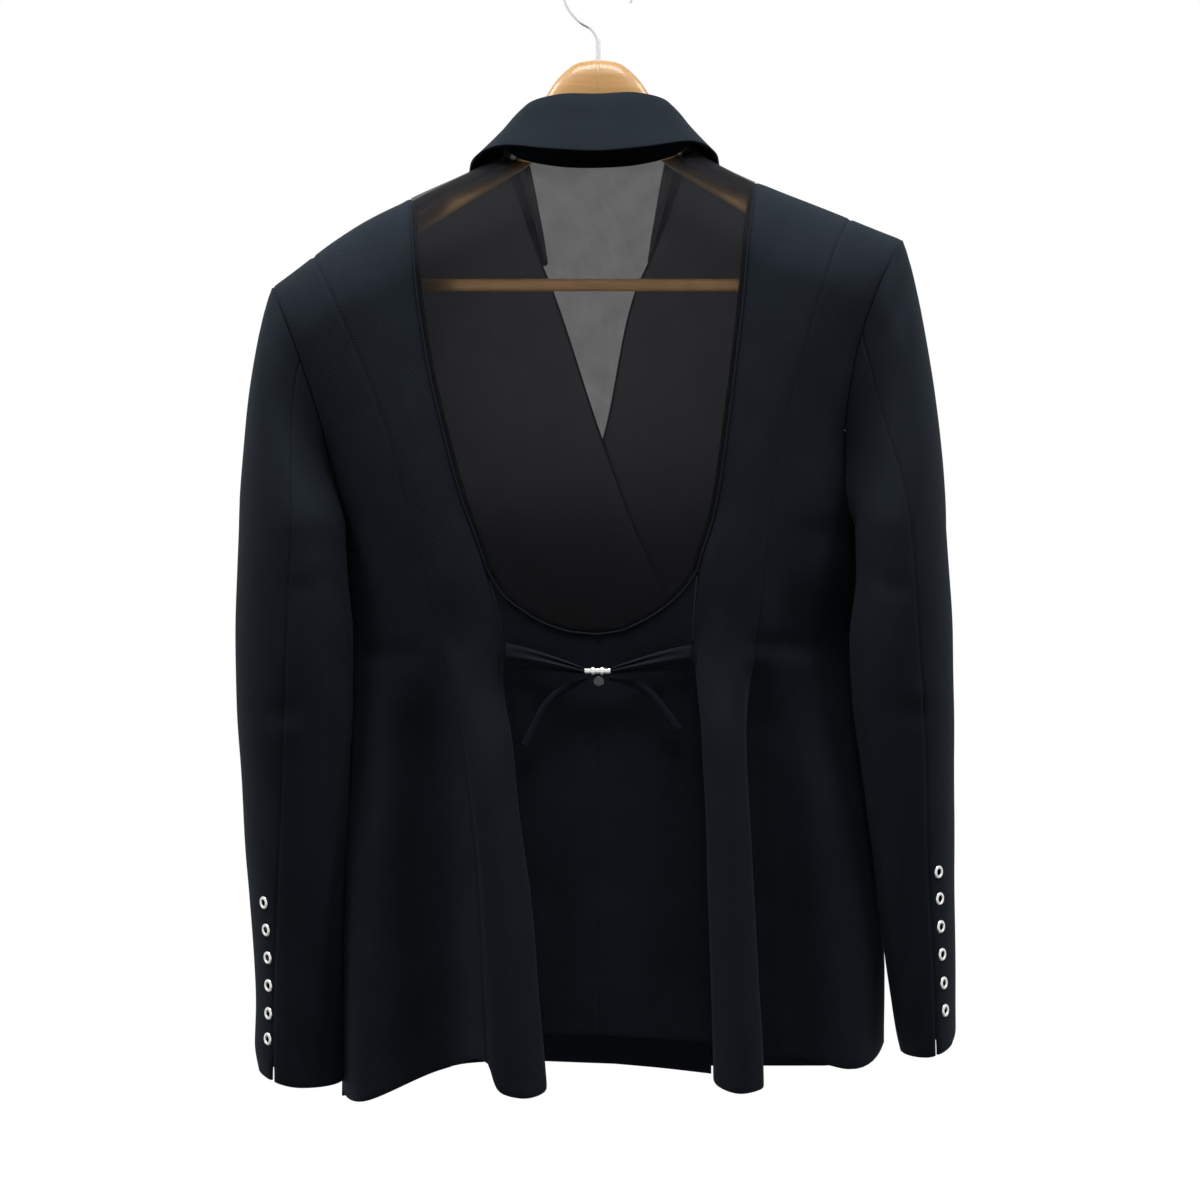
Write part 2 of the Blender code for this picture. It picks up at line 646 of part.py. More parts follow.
def sleeve_rows(side, count_cap, count_arm):
    cap = np.linspace(0, 1, count_cap) ** 1.2
    arm = np.linspace(SLEEVE[side][0][0], SLEEVE_HEM_Z[side], count_arm + 1)[1:]
    return cap, arm


def sleeve_points(side, cap, arm, cap_angles, arm_angles):
    """Sleeve surface: the cap from the armhole to the first ring, then rings down the arm."""
    start_z = float(SLEEVE[side][0][0])
    rows = []
    for share, angles in zip(cap, cap_angles):
        turn = np.radians(angles)
        hole = armhole_points(side, angles)
        ring = sleeve_ring(side, angles, np.full(len(angles), start_z))
        back = np.sin(turn) ** 2
        under = smoothstep((-np.cos(turn) - 0.2) / 0.8)
        sideways = side * (0.42 + 0.5 * back - 0.2 * under)
        out = np.stack([sideways, 0.18 * np.sin(turn), -1 + 0.35 * back], axis=-1)
        out /= np.linalg.norm(out, axis=-1, keepdims=True)
        hole = hole + out * 0.3 * ARMHOLE_GAP
        hole[:, 0] += side * ARMHOLE_GAP * (1 + 1.1 * np.clip(np.cos(turn), 0, 1) ** 2)
        reach = np.linalg.norm(ring - hole, axis=-1, keepdims=True)
        fullness = 0.95 - CAP_SLIM[side] * np.clip(np.cos(turn), 0, 1)[:, None]
        down = np.zeros_like(out)
        down[:, 2] = -1
        s = share
        rows.append(
            (1 + 2 * s) * (1 - s) ** 2 * hole
            + s * (1 - s) ** 2 * out * reach * fullness
            + s * s * (3 - 2 * s) * ring
            + s * s * (s - 1) * down * reach * 0.9
        )
    for z, angles in zip(arm, arm_angles):
        rows.append(sleeve_ring(side, angles, np.full(len(angles), z)))
    return np.array(rows)


def seam_angles(side, cap, arm):
    """Angle of the back seam at each row of the sleeve."""
    table = SLEEVE_SEAM[side]
    tries = np.linspace(*SEAM_SEARCH, 161)
    found = sleeve_points(side, cap, [], [tries] * len(cap), [])
    off = side * found[..., 0] - read_table(table, found[..., 2])[..., 0]
    cap_seam = np.array([np.interp(0, -row, tries) for row in off])
    arm_seam = np.array([float(sleeve_angle(side, z, read_table(table, z)[0])) for z in arm])
    return cap_seam, arm_seam


def build_sleeve(collection, cutters, side):
    name = SIDE_NAME[side]
    spots = EYELET_SPOTS[side]
    cap, arm = sleeve_rows(side, 7, 10)
    seams = np.concatenate(seam_angles(side, cap, arm))
    row_z = np.concatenate([np.full(len(cap), SLEEVE[side][0][0]), arm])
    spot_angle = [(z, float(sleeve_angle(side, z, distance))) for z, distance in spots]
    line = read_table(spot_angle, np.clip(row_z, spots[-1][0], spots[0][0]))[:, 0]
    eyelet_line = np.clip(line, 0, seams - 12)
    gap = np.degrees(2.2 * SEAM_GAP / 45.0) + np.degrees(VENT_OPENING / 45.0) * smoothstep(
        (SLEEVE_HEM_Z[side] + VENT_LENGTH - row_z) / VENT_LENGTH
    )
    upper, under = [], []
    for seam, line, opening in zip(seams, eyelet_line, gap):
        last = FRONT_SEAM_ANGLE + gap[0]
        around = line + (last + 6 - line) * np.linspace(0, 1, 7)
        upper.append([seam - opening, max(seam - opening - 6, line + 2), *around, last])
        last = 360 + FRONT_SEAM_ANGLE - gap[0]
        under.append([seam + opening, *np.linspace(seam + opening + 6, last - 6, 6), last])
    split = len(cap)
    pieces = (("upper", upper, (side, 0.3, 0)), ("under", under, (-side, 0.5, 0)))
    for piece, angles, outward in pieces:
        grid = sleeve_points(side, cap, arm, np.array(angles[:split]), np.array(angles[split:]))
        part = sheet(collection, f"sleeve_{piece}_{name}", grid, CLOTH, outward)
        if piece == "upper":
            build_eyelets(collection, cutters, part, side, spot_angle)


def spot_frame(side, z, angle):
    """Place and outward direction of a spot on the sleeve, in true millimetres."""
    around = np.array([angle - 6, angle, angle + 6])
    points = [true_place(sleeve_ring(side, around, np.full(3, z + step))) for step in (4, 0, -4)]
    normal = np.cross(points[1][2] - points[1][0], points[2][1] - points[0][1])
    normal /= np.linalg.norm(normal)
    return points[1][1], normal if normal[0] * side > 0 else -normal


def turned(collection, name, profile, look, steps):
    """A ring or disc: the profile of (radius, height) turned about Z, closed on itself."""
    mesh = bpy.data.meshes.new(name)
    points = [(radius * MM, 0, height * MM) for radius, height in reversed(profile)]
    on_axis = profile[0][0] == 0
    count = len(points)
    edges = [(k, k + 1) for k in range(count - 1)]
    if not on_axis:
        edges.append((count - 1, 0))
    mesh.from_pydata(points, edges, [])
    part = place(collection, name, mesh, look)
    screw = part.modifiers.new("turn", "SCREW")
    screw.steps = screw.render_steps = steps
    screw.use_merge_vertices = True
    screw.merge_threshold = 0.00001
    return part


def aim(part, position, normal):
    """Puts a turned part at a place with its axis along the normal; both in millimetres."""
    part.location = Vector((position * MM).tolist())
    part.rotation_mode = "QUATERNION"
    part.rotation_quaternion = Vector(normal.tolist()).to_track_quat("Z", "Y")


def build_eyelets(collection, cutters, sleeve, side, spots):
    profile = (
        (EYELET_BORE_R, -2.0),
        (EYELET_BARREL_R, -2.0),
        (EYELET_BARREL_R, EYELET_LIFT),
        (EYELET_FLANGE_R, EYELET_LIFT),
        (EYELET_FLANGE_R - 0.5, EYELET_LIFT + 0.8),
        (EYELET_BARREL_R, EYELET_LIFT + 1.0),
        (EYELET_BORE_R, EYELET_LIFT + 0.5),
    )
    for k, (z, angle) in enumerate(spots):
        name = f"eyelet_{SIDE_NAME[side]}_{k + 1}"
        position, normal = spot_frame(side, z, angle)
        aim(turned(collection, name, profile, steel(name), 10), position, normal)
        bpy.ops.mesh.primitive_cylinder_add(vertices=10, radius=EYELET_HOLE_R * MM, depth=8 * MM)
        cutter = bpy.context.active_object
        cutter.name = name + "_hole"
        for holder in cutter.users_collection:
            holder.objects.unlink(cutter)
        cutters.objects.link(cutter)
        cutter.hide_render = True
        cutter.display_type = "WIRE"
        aim(cutter, position, normal)
        hole = sleeve.modifiers.new(f"hole_{k + 1}", "BOOLEAN")
        hole.operation = "DIFFERENCE"
        hole.solver = "EXACT"
        hole.object = cutter


# ---------------------------------------------------------------- collar, lapels, button

# Collar stations from the centre back round to the gorge, left side: neck seam, fold and outer
# edge, each as x, y, z.
COLLAR = (
    ((0, 38, -156), (0, 36, -101), (0, 60, -142.5)),
    ((30, 35.5, -155), (28, 34, -101.5), (36, 59, -141)),
    ((56, 25, -150), (46, 25, -107.5), (72, 44, -138.5)),
    ((68, 4, -143.5), (55, 2, -122.5), (92, 10, -147)),
    ((58, -28, -161), (52, -26, -144), (97, -30, -163)),
    ((47, -48, -194), (45, -48, -188), (97, -60, -194)),
    ((38.5, -60, -222), (37, -61, -225), (84, -66, -212)),
)
COLLAR_RIGHT_NARROW, COLLAR_RIGHT_RISE = 0.05, 3.9
FOLD_RADIUS = 3.2
COLLAR_CROWN, COLLAR_CLEAR, COLLAR_FRONT_Y = 4, 4.2, -15.0

# Lapels: height on the roll line, then the outer edge as distance from the centre and height.
LAPEL = {
    LEFT: (
        (-238, 118, -224), (-262, 112, -264), (-292, 98, -306),
        (-322, 76, -348), (-345, 48, -386), (-356, 24, -411),
    ),
    RIGHT: (
        (-231, 110, -217), (-262, 112, -262), (-310, 104, -315), (-361, 86, -372),
        (-420, 52, -435), (-480, 2, -497), (-535, -70, -546),
    ),
}
LAPEL_LIFT, LAPEL_ROLL = 2.9, 2.5
BUTTON_SPOT, BUTTON_R = (64.0, -566.0), 10.0


def collar_profile(station, side, narrow=0.0, rise=0.0):
    """Section of the collar from its neck seam over the fold to its edge."""
    seam, fold, edge = (np.array(point, float) for point in station)
    for point in (seam, fold, edge):
        outward = point[0] / 90
        point[2] += rise * outward
        point[0] *= side * (1 - narrow * outward**2)
    crown = fold - (seam + edge) / 2
    crown /= np.linalg.norm(crown)
    across_fold = (edge - seam) - crown * np.dot(edge - seam, crown)
    across_fold /= np.linalg.norm(across_fold)
    near = fold - crown * FOLD_RADIUS
    far = near + across_fold * 2 * FOLD_RADIUS
    return np.array([
        seam,
        (seam + near) / 2,
        near,
        near + across_fold * 0.3 * FOLD_RADIUS + crown * 0.75 * FOLD_RADIUS,
        near + across_fold * FOLD_RADIUS + crown * FOLD_RADIUS,
        near + across_fold * 1.7 * FOLD_RADIUS + crown * 0.75 * FOLD_RADIUS,
        far,
        far * 0.55 + edge * 0.45,
        edge,
    ])


def build_collar(collection):
    left = [collar_profile(station, LEFT) for station in COLLAR]
    right = [
        collar_profile(station, RIGHT, COLLAR_RIGHT_NARROW, COLLAR_RIGHT_RISE)
        for station in COLLAR[1:]
    ]
    stations = np.array(left[::-1] + right)
    grid = across(stations, np.linspace(0, len(stations) - 1, 25)).transpose(1, 0, 2)
    fall = grid[COLLAR_CROWN:]
    outside = np.minimum(fall[..., 1], outer_front_y(fall) - COLLAR_CLEAR)
    fall[..., 1] = np.where(fall[..., 1] < COLLAR_FRONT_Y, outside, fall[..., 1])
    sheet(collection, "collar", grid, CLOTH, (0, 0.3, 1))


def outer_front_y(points):
    """Outer face of the fronts at each point, the overlap's step included."""
    x, z = points[..., 0], points[..., 2]
    return front_y(x, z) - overlap_step(x, z) * (x < 0)


def lapel_points(side, along, over):
    """A lapel, as [along the roll line][from the roll line outwards]."""
    rows = read_table([(k, *row) for k, row in enumerate(LAPEL[side])], along)
    reach_roll = read_table(FRONT_EDGE[side], rows[:, 0])[:, 0]
    reach = reach_roll[:, None] + (rows[:, 1] - reach_roll)[:, None] * over
    z = rows[:, :1] + (rows[:, 2:] - rows[:, :1]) * over
    x = side * reach
    y = front_y(x, z) - LAPEL_LIFT - LAPEL_ROLL * (1 - over) ** 2
    if side == RIGHT:
        y = y - overlap_step(x, z)
    return np.stack([x, y, z], axis=-1)


def build_lapels(collection):
    for side in (LEFT, RIGHT):
        last = len(LAPEL[side]) - 1
        grid = lapel_points(side, np.linspace(0, last, 10), np.linspace(0, 1, 6))
        sheet(collection, f"lapel_{SIDE_NAME[side]}", grid, CLOTH, (0, -1, 0))


def build_button(collection):
    x, z = BUTTON_SPOT
    y = float(front_y(x, z)) - OVERLAP_STEP - 0.9
    profile = ((0, 0), (BUTTON_R - 0.6, 0), (BUTTON_R, 0.7), (BUTTON_R, 2.2), (BUTTON_R - 0.8, 3.0),
               (BUTTON_R - 2.2, 3.0), (BUTTON_R - 3.0, 2.3), (0, 2.3))
    look = material("button_plastic", (0.015, 0.018, 0.02), 0.35)
    button = turned(collection, "front_button", profile, look, 18)
    aim(button, true_place(np.array([x, y, z])), np.array([0.0, -1.0, 0.0]))


# ---------------------------------------------------------------- half-belt

# Straps: start at the panel seam and end at the clasp; x, upper height, lower height.
STRAP = {
    LEFT: ((69.3, -512.5, -531.5), (11.2, -530.6, -535.8)),
    RIGHT: ((-69.6, -513.8, -532.3), (-10.4, -530.6, -535.8)),
}
STRAP_OFF_SEAM, STRAP_OFF_CLASP = 3.6, 10.0
# Ties: x, height and width at the clasp, the bend and the free end.
TIE = {
    LEFT: ((8.5, -538.3, 3.2), (31, -550.5, 6.5), (55, -590, 7.6)),
    RIGHT: ((-8.5, -538.3, 3.2), (-29, -543.5, 6.5), (-61, -578, 7.6)),
}
TIE_OFF = 7.0
CLASP_PLACE, CLASP_HALF = (0.4, -533.2), 9.8
PENDANT_R, PENDANT_DROP = 4.2, 8.0


def build_belt(collection):
    along, over = np.linspace(0, 1, 10), np.linspace(0, 1, 5)
    for side in (LEFT, RIGHT):
        (x0, top0, low0), (x1, top1, low1) = STRAP[side]
        x = np.repeat((x0 + (x1 - x0) * along)[:, None], len(over), axis=1)
        top = top0 + (top1 - top0) * along ** 1.3
        low = low0 + (low1 - low0) * along
        z = top[:, None] + (low - top)[:, None] * over
        rise = STRAP_OFF_SEAM + (STRAP_OFF_CLASP - STRAP_OFF_SEAM) * along[:, None]
        lift = rise + 2.5 * np.sin(math.pi * over)
        grid = np.stack([x, inset_y(x, z) + lift * np.ones_like(x), z], axis=-1)
        sheet(collection, f"strap_{SIDE_NAME[side]}", grid, CLOTH, (0, 1, 0))
        path = across(np.array([[point[:2]] for point in TIE[side]], float), np.linspace(0, 2, 9))[:, 0]
        width = read_table([(k, point[2]) for k, point in enumerate(TIE[side])], np.linspace(0, 2, 9))[:, 0]
        way = np.gradient(path, axis=0)
        way /= np.linalg.norm(way, axis=1, keepdims=True)
        sideways = np.stack([-way[:, 1], way[:, 0]], axis=1)
        flat = path[:, None] + sideways[:, None] * (width[:, None] * np.linspace(-0.5, 0.5, 3))[..., None]
        y = inset_y(flat[..., 0], flat[..., 1]) + TIE_OFF
        grid = np.stack([flat[..., 0], y, flat[..., 1]], axis=-1)
        sheet(collection, f"tie_{SIDE_NAME[side]}", grid, CLOTH, (0, 1, 0))


def build_clasp(collection):
    x, z = CLASP_PLACE
    y = float(inset_y(x, z)) + STRAP_OFF_CLASP
    half = CLASP_HALF
    profile = (
        (0, -half), (1.7, -half), (2.3, -half + 0.6), (2.3, -4.8), (3.3, -4.4), (3.3, -2.2), (2.3, -1.8),
        (2.3, 1.8), (3.3, 2.2), (3.3, 4.4), (2.3, 4.8), (2.3, half - 0.6), (1.7, half), (0, half),
    )
    clasp = turned(collection, "clasp", profile, steel("clasp"), 12)
    aim(clasp, true_place(np.array([x, y, z])), np.array([1.0, 0.0, 0.0]))
    drop = (
        (0, -1.5), (PENDANT_R - 0.8, -1.5), (PENDANT_R, -0.6),
        (PENDANT_R, 0.6), (PENDANT_R - 0.9, 1.4), (0, 1.9),
    )
    look = material("pendant_enamel", (0.01, 0.01, 0.012), 0.2)
    pendant = turned(collection, "pendant", drop, look, 14)
    aim(pendant, true_place(np.array([x - 1, y, z - PENDANT_DROP])), np.array([0.0, 1.0, 0.0]))


# ---------------------------------------------------------------- hanger

# Half of the arms: distance from the centre, top, bottom, half depth.
ARM_SECTIONS = (
    (0, -75, -118, 8.0),
    (14, -77, -124, 8.5),
    (28, -87, -134, 9.0),
    (40, -104, -143.5, 9.0),
    (50, -125, -152.5, 9.0),
    (59, -145, -159, 8.5),
    (66, -153.5, -163, 8.0),
    (76, -159, -169, 8.0),
    (104, -171, -186, 7.5),
    (136, -190, -205.7, 7.0),
    (165, -206, -222.5, 7.0),
    (179.7, -213.3, -231.5, 7.0),
    (180, -213.5, -252, 7.0),
    (190, -220.5, -253, 6.5),
    (197, -228, -250, 5.0),
    (200, -236, -244, 2.5),
)
ARM_SIDES = 12
BAR_Z, BAR_R, BAR_HALF = -243.75, 4.7, 179.3
HOOK_WIRE_R, HOOK_R = 1.8, 23.5
HOOK_FOOT_Z = -74.6


def build_hanger(collection):
    turn = np.linspace(0, 2 * math.pi, ARM_SIDES, endpoint=False)
    points = []
    for x, top, bottom, half_depth in ARM_SECTIONS:
        middle, half_height = (top + bottom) / 2, (top - bottom) / 2
        points += [
            (x * MM, half_depth * math.sin(a) * MM, (middle + half_height * math.cos(a)) * MM)
            for a in turn
        ]
    count = ARM_SIDES
    faces = [
        (r * count + k, r * count + (k + 1) % count, (r + 1) * count + (k + 1) % count, (r + 1) * count + k)
        for r in range(len(ARM_SECTIONS) - 1)
        for k in range(count)
    ]
    last = (len(ARM_SECTIONS) - 1) * count
    faces.append(tuple(last + k for k in range(count)))
    mesh = bpy.data.meshes.new("hanger_arms")
    mesh.from_pydata(points, [], [face[::-1] for face in faces])
    arms = place(collection, "hanger_arms", mesh, material("hanger_arms_wood", (0.5, 0.3, 0.14), 0.45))
    mirror = arms.modifiers.new("other_arm", "MIRROR")
    mirror.merge_threshold = 0.0001

    bpy.ops.mesh.primitive_cylinder_add(vertices=16, radius=BAR_R * MM, depth=2 * BAR_HALF * MM)
    bar = bpy.context.active_object
    bar.name = "hanger_bar"
    for holder in bar.users_collection:
        holder.objects.unlink(bar)
    collection.objects.link(bar)
    bar.data.materials.append(material("hanger_bar_wood", (0.5, 0.3, 0.14), 0.45))
    bar.rotation_euler = (0, math.pi / 2, 0)
    bar.location = (0, 0, BAR_Z * MM)

    reach = HOOK_R + HOOK_WIRE_R
    stem = [(0, HOOK_FOOT_Z), (0, -64.5), (0.6, -58), (5.5, -51), (13, -46.3)]
    loop = [
        (reach * math.cos(math.radians(a)), -HOOK_R + reach * math.sin(math.radians(a)))
        for a in range(-40, 206, 15)
    ]
    curve = bpy.data.curves.new("hanger_hook", "CURVE")
    curve.dimensions = "3D"
    curve.bevel_depth = HOOK_WIRE_R * MM
    curve.bevel_resolution = 2
    curve.use_fill_caps = True
    route = stem + loop
    spline = curve.splines.new("POLY")
    spline.points.add(len(route) - 1)
    for point, (x, z) in zip(spline.points, route):
        point.co = (x * MM, 0, z * MM, 1)
    place(collection, "hanger_hook", curve, steel("hanger_hook"))


def build_all():
    for old in list(bpy.data.objects):
        bpy.data.objects.remove(old, do_unlink=True)
    jacket = bpy.data.collections.new("tailored_jacket_on_hanger")
    cutters = bpy.data.collections.new("cutters")
    for collection in (jacket, cutters):
        bpy.context.scene.collection.children.link(collection)
    cutters.hide_render = True
    build_backs(jacket)
    build_inset(jacket)
    build_back_lower(jacket)
    build_fronts(jacket)
    for side in (LEFT, RIGHT):
        build_sleeve(jacket, cutters, side)
    build_collar(jacket)
    build_lapels(jacket)
    build_button(jacket)
    build_belt(jacket)
    build_clasp(jacket)
    build_hanger(jacket)


build_all()
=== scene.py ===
"""Tailored jacket on a wooden hanger: the fine model and its materials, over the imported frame.

Lengths are in millimetres and turn into metres when a mesh is made. +Z is up, +Y is the
jacket's back and +X the wearer's left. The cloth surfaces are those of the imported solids, read
at finer steps and with their folds added. Their outlines were measured in the plane y = 0 as it
looks from VIEW_DISTANCE behind the jacket, and true_place() moves them to their real place.
"""

import math

import bpy
import numpy as np
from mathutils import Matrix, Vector


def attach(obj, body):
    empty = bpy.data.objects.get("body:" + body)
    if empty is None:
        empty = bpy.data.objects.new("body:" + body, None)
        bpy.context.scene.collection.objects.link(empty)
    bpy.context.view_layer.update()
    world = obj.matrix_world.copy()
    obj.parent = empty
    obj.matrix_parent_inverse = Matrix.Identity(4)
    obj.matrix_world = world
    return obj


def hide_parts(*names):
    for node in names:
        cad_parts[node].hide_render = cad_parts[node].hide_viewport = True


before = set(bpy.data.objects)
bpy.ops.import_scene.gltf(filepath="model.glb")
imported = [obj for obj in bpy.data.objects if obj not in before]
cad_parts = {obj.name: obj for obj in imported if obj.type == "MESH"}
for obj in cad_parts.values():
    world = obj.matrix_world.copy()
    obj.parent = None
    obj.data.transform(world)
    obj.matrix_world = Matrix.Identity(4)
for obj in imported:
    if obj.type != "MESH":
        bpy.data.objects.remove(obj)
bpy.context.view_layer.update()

MM = 0.001
VIEW_DISTANCE = 2200.0
VIEW_X, VIEW_Z = -1.5, -480.0

CLOTH, MESH_CLOTH, LINING = 1.4, 0.5, 0.7
LINING_GAP, LINING_EDGE = 1.0, 1.5
SEAM_GAP = 0.03
ARMHOLE_GAP = 0.15
LEFT, RIGHT = 1, -1
SIDE_NAME = {LEFT: "left", RIGHT: "right"}

SHOULDER_SEAM_Y = -4.0
SHOULDER_DROP = 60.0

# Shoulder line: distance from the centre, height.
SHOULDER = {
    LEFT: (
        (0, -117), (71, -145), (92, -156.5), (140, -178.5),
        (187, -203.5), (220, -227), (242, -244), (262, -262),
    ),
    RIGHT: (
        (0, -113), (69, -139), (88, -152), (118, -166.5),
        (166, -185), (212, -203.5), (228, -210), (248, -224),
    ),
}

# Back sections, distance from the centre. Columns of a row: height, inner edge (the U, then the
# seam beside the flute), flute's inner side, crest, outer side, princess seam, valley, flank,
# armhole or side seam.
BACK_X = {
    LEFT: (
        (-180, 140.5, 164, 188, 211, 235, 244, 253, 262),
        (-228, 138, 156, 174, 193, 211, 224, 237, 250),
        (-296, 129, 142, 155, 167, 180, 195, 210, 225),
        (-352, 116.5, 127, 138, 148, 159, 175, 191, 207),
        (-405, 102, 113, 123, 134, 144.5, 162, 179, 195),
        (-424, 95, 107, 118, 129, 140, 157, 173, 191),
        (-456, 84, 96, 108, 120, 130.5, 149, 168, 190),
        (-513, 71.3, 82, 94, 106, 119, 138, 167, 186),
        (-536, 71, 79, 90, 102, 113.5, 135, 168, 185.5),
        (-587, 66, 65.3, 83, 94, 101, 128, 168, 186.5),
        (-635, 63.5, 60.5, 78, 89, 95.3, 125, 168, 188.5),
        (-705, 60, 51.5, 69, 82, 89, 121, 171, 191),
        (-768, 57.5, 46, 64, 78, 86.3, 119, 172, 192),
        (-845, 54, 40.5, 59, 73, 82.5, 116, 171, 192),
    ),
    RIGHT: (
        (-171, 117.8, 140, 163, 186, 209, 220, 232, 244),
        (-202, 113.5, 131, 149, 167, 184.5, 200, 216, 232),
        (-247, 109.5, 124, 139, 153, 168, 182, 196, 209.5),
        (-305, 103, 115, 127, 139, 151, 165, 179, 192),
        (-364, 95.5, 106, 117, 127, 137, 153, 169, 185),
        (-412, 88, 97.5, 107.5, 118, 129, 148, 168, 188),
        (-430, 83, 93, 104, 115, 127, 145, 164, 195),
        (-457, 75, 87, 99, 112, 124.5, 143, 168, 195),
        (-517, 71.3, 80, 93, 106, 118.5, 137, 163, 191),
        (-536, 74, 74.5, 92, 107, 116, 136, 163, 192),
        (-578, 82, 78.5, 96, 109.5, 113, 134, 165, 196),
        (-635, 86, 81.3, 98, 112.5, 113.5, 136, 172, 203.5),
        (-705, 90, 84.5, 100.5, 116.5, 117, 138, 180, 211.5),
        (-758, 92, 86.5, 103, 119.5, 119.5, 140, 184, 215),
        (-850, 94, 89.5, 106, 122.5, 123, 142, 188, 214),
    ),
}

# The same sections, distance behind the plane y = 0.
BACK_Y = {
    LEFT: (
        (-180, 50, 50, 49, 47, 45, 43, 40, 36),
        (-228, 52, 52, 52, 51, 49, 46, 42, 36),
        (-296, 54, 55, 55, 54, 52, 48, 42, 33),
        (-352, 55, 56, 57, 56, 54, 49, 40, 26),
        (-405, 54, 56, 57, 57, 54, 47, 33, -2),
        (-424, 53, 56, 57, 57, 54, 46, 32, -17),
        (-456, 50, 54, 56, 56, 53, 45, 31, -25),
        (-513, 42, 48, 51, 51, 49, 40, 25, -27),
        (-536, 39, 47, 52, 53, 49, 38, 27, -28),
        (-587, 35, 49, 60, 59, 53, 29, 32, -32),
        (-635, 33, 52, 66, 64, 57, 24, 38, -36),
        (-705, 31, 57, 73, 70, 62, 24.3, 43, -40),
        (-768, 32, 62, 80, 76, 67, 24.5, 47, -42),
        (-845, 34, 70, 88, 83, 72, 25, 51, -43),
    ),
    RIGHT: (
        (-171, 50, 50, 49, 47, 45, 43, 40, 36),
        (-202, 52, 52, 51, 49, 47, 45, 42, 37),
        (-247, 54, 55, 55, 53, 51, 47, 42, 35),
        (-305, 55, 56, 56, 55, 52, 46, 39, 29),
        (-364, 55, 56, 57, 56, 52, 44, 34, 17),
        (-412, 53, 55, 56, 56, 52, 43, 31, -2),
        (-430, 52, 55, 56, 56, 52, 42, 30, -20),
        (-457, 50, 53, 55, 55, 51, 39, 25, -25),
        (-517, 43, 48, 52, 51, 46, 29, 13, -27),
        (-536, 40, 49, 54, 52, 40, 29, 15, -28),
        (-578, 36, 54, 63, 54, 30, 27, 24, -30),
        (-635, 33, 56, 68, 57, 28, 27, 33, -33),
        (-705, 31, 60, 74, 62, 28, 28, 38, -37),
        (-758, 31, 64, 79, 66, 29, 30, 42, -38),
        (-850, 33, 72, 88, 74, 32, 36, 47, -39),
    ),
}
EDGE, PRINCESS, SIDE = 0, 4, 7

UNDERARM_Z = {LEFT: -405.0, RIGHT: -412.0}
# Height of the hem at each back column, in the order of BACK_X.
HEM_Z = {
    LEFT: (-812, -849, -854, -850, -828, -832, -855, -847),
    RIGHT: (-812, -844, -850.5, -847, -826, -823, -832, -812),
}

# Lower edge of the sheer inset, from the inner edge of each side to the centre: distance, height.
U_BOTTOM = {
    LEFT: ((84, -456), (72.8, -474.8), (56.3, -488.3), (37.5, -498.8), (18, -504.3), (0, -505.8)),
    RIGHT: ((75, -457), (66, -470.3), (54, -482.3), (32.3, -496.5), (15, -503.6), (0, -505.8)),
}
U_CORNER_Z = {LEFT: -456.0, RIGHT: -457.0}
NECK_LINE = ((71, -147.5), (52, -151.5), (0, -153), (-50, -149.5), (-69, -142.5))
NECK_HALF = {LEFT: 71, RIGHT: 69}
CENTRE_HEM_Z, LOWER_HEM_Z = -806.0, {LEFT: -806.0, RIGHT: -812.0}

# Front: height, half width to the wearer's left and right above the underarm, distance of the
# middle in front of the centre plane.
FRONT_SECTION = (
    (-140, 232, 222, 48),
    (-240, 232, 222, 62),
    (-340, 216, 206, 72),
    (-405, 195, 190, 74),
    (-412, 194, 188, 74),
    (-456, 190, 195, 74),
    (-520, 186, 191, 70),
    (-600, 188, 198, 70),
    (-700, 192, 211, 75),
    (-768, 193, 215, 81),
    (-860, 193, 214, 88),
)
FRONT_SQUARENESS = 2.5
ARMHOLE_SCOOP = 7.0
OVERLAP_STEP = 5.5

# Inner edge of each front, the neck seam, then the roll line, then the free edge: height,
# distance from the centre towards its own side.
FRONT_EDGE = {
    LEFT: (
        (-148, 71), (-180, 59), (-231, 41), (-248, 34), (-361, -4),
        (-439, -34), (-500, -65), (-540, -84), (-580, -85), (-850, -85),
    ),
    RIGHT: (
        (-143, 69), (-180, 57), (-221, 41), (-255, 26), (-361, 3),
        (-445, -31), (-505, -63), (-545, -84), (-590, -85), (-850, -85),
    ),
}
# Hem of the fronts: distance from the centre on the front's own side, height.
FRONT_HEM = {
    LEFT: (
        (-85, -835), (-50, -831), (0, -826.5), (28, -824),
        (96, -827), (120, -832), (150, -842), (193, -852),
    ),
    RIGHT: ((-85, -824), (85, -829), (170, -829), (214, -812)),
}

# Sleeve sections: height, outer side, inner side, middle y, half depth.
SLEEVE = {
    LEFT: (
        (-425, 269.3, 189, 4, 58),
        (-463, 270.8, 187, 3, 57),
        (-511, 272.5, 183.5, 2, 56),
        (-559, 271, 183.7, 0, 54),
        (-607, 268, 186, -3, 52),
        (-667, 264.3, 188.5, -6, 50),
        (-701, 261.3, 190, -8, 49),
        (-749, 258, 190.5, -10, 47),
        (-788, 256.7, 190.5, -12, 46),
        (-818, 257, 190.5, -13, 45),
        (-850, 252, 190.5, -14, 45),
    ),
    RIGHT: (
        (-425, 261.5, 193, 4, 56),
        (-463, 263.8, 193.5, 3, 55),
        (-511, 266.5, 188.5, 2, 54),
        (-559, 267.5, 191, 0, 52),
        (-607, 267, 197, -3, 50),
        (-667, 267.3, 205.5, -6, 48),
        (-730, 267.5, 212.3, -9, 46),
        (-778, 268.3, 219.5, -11, 45),
        (-806, 268.5, 223.5, -12, 44),
        (-830, 262, 229, -12, 43),
    ),
}
SLEEVE_HEM_Z = {LEFT: -841.0, RIGHT: -818.5}
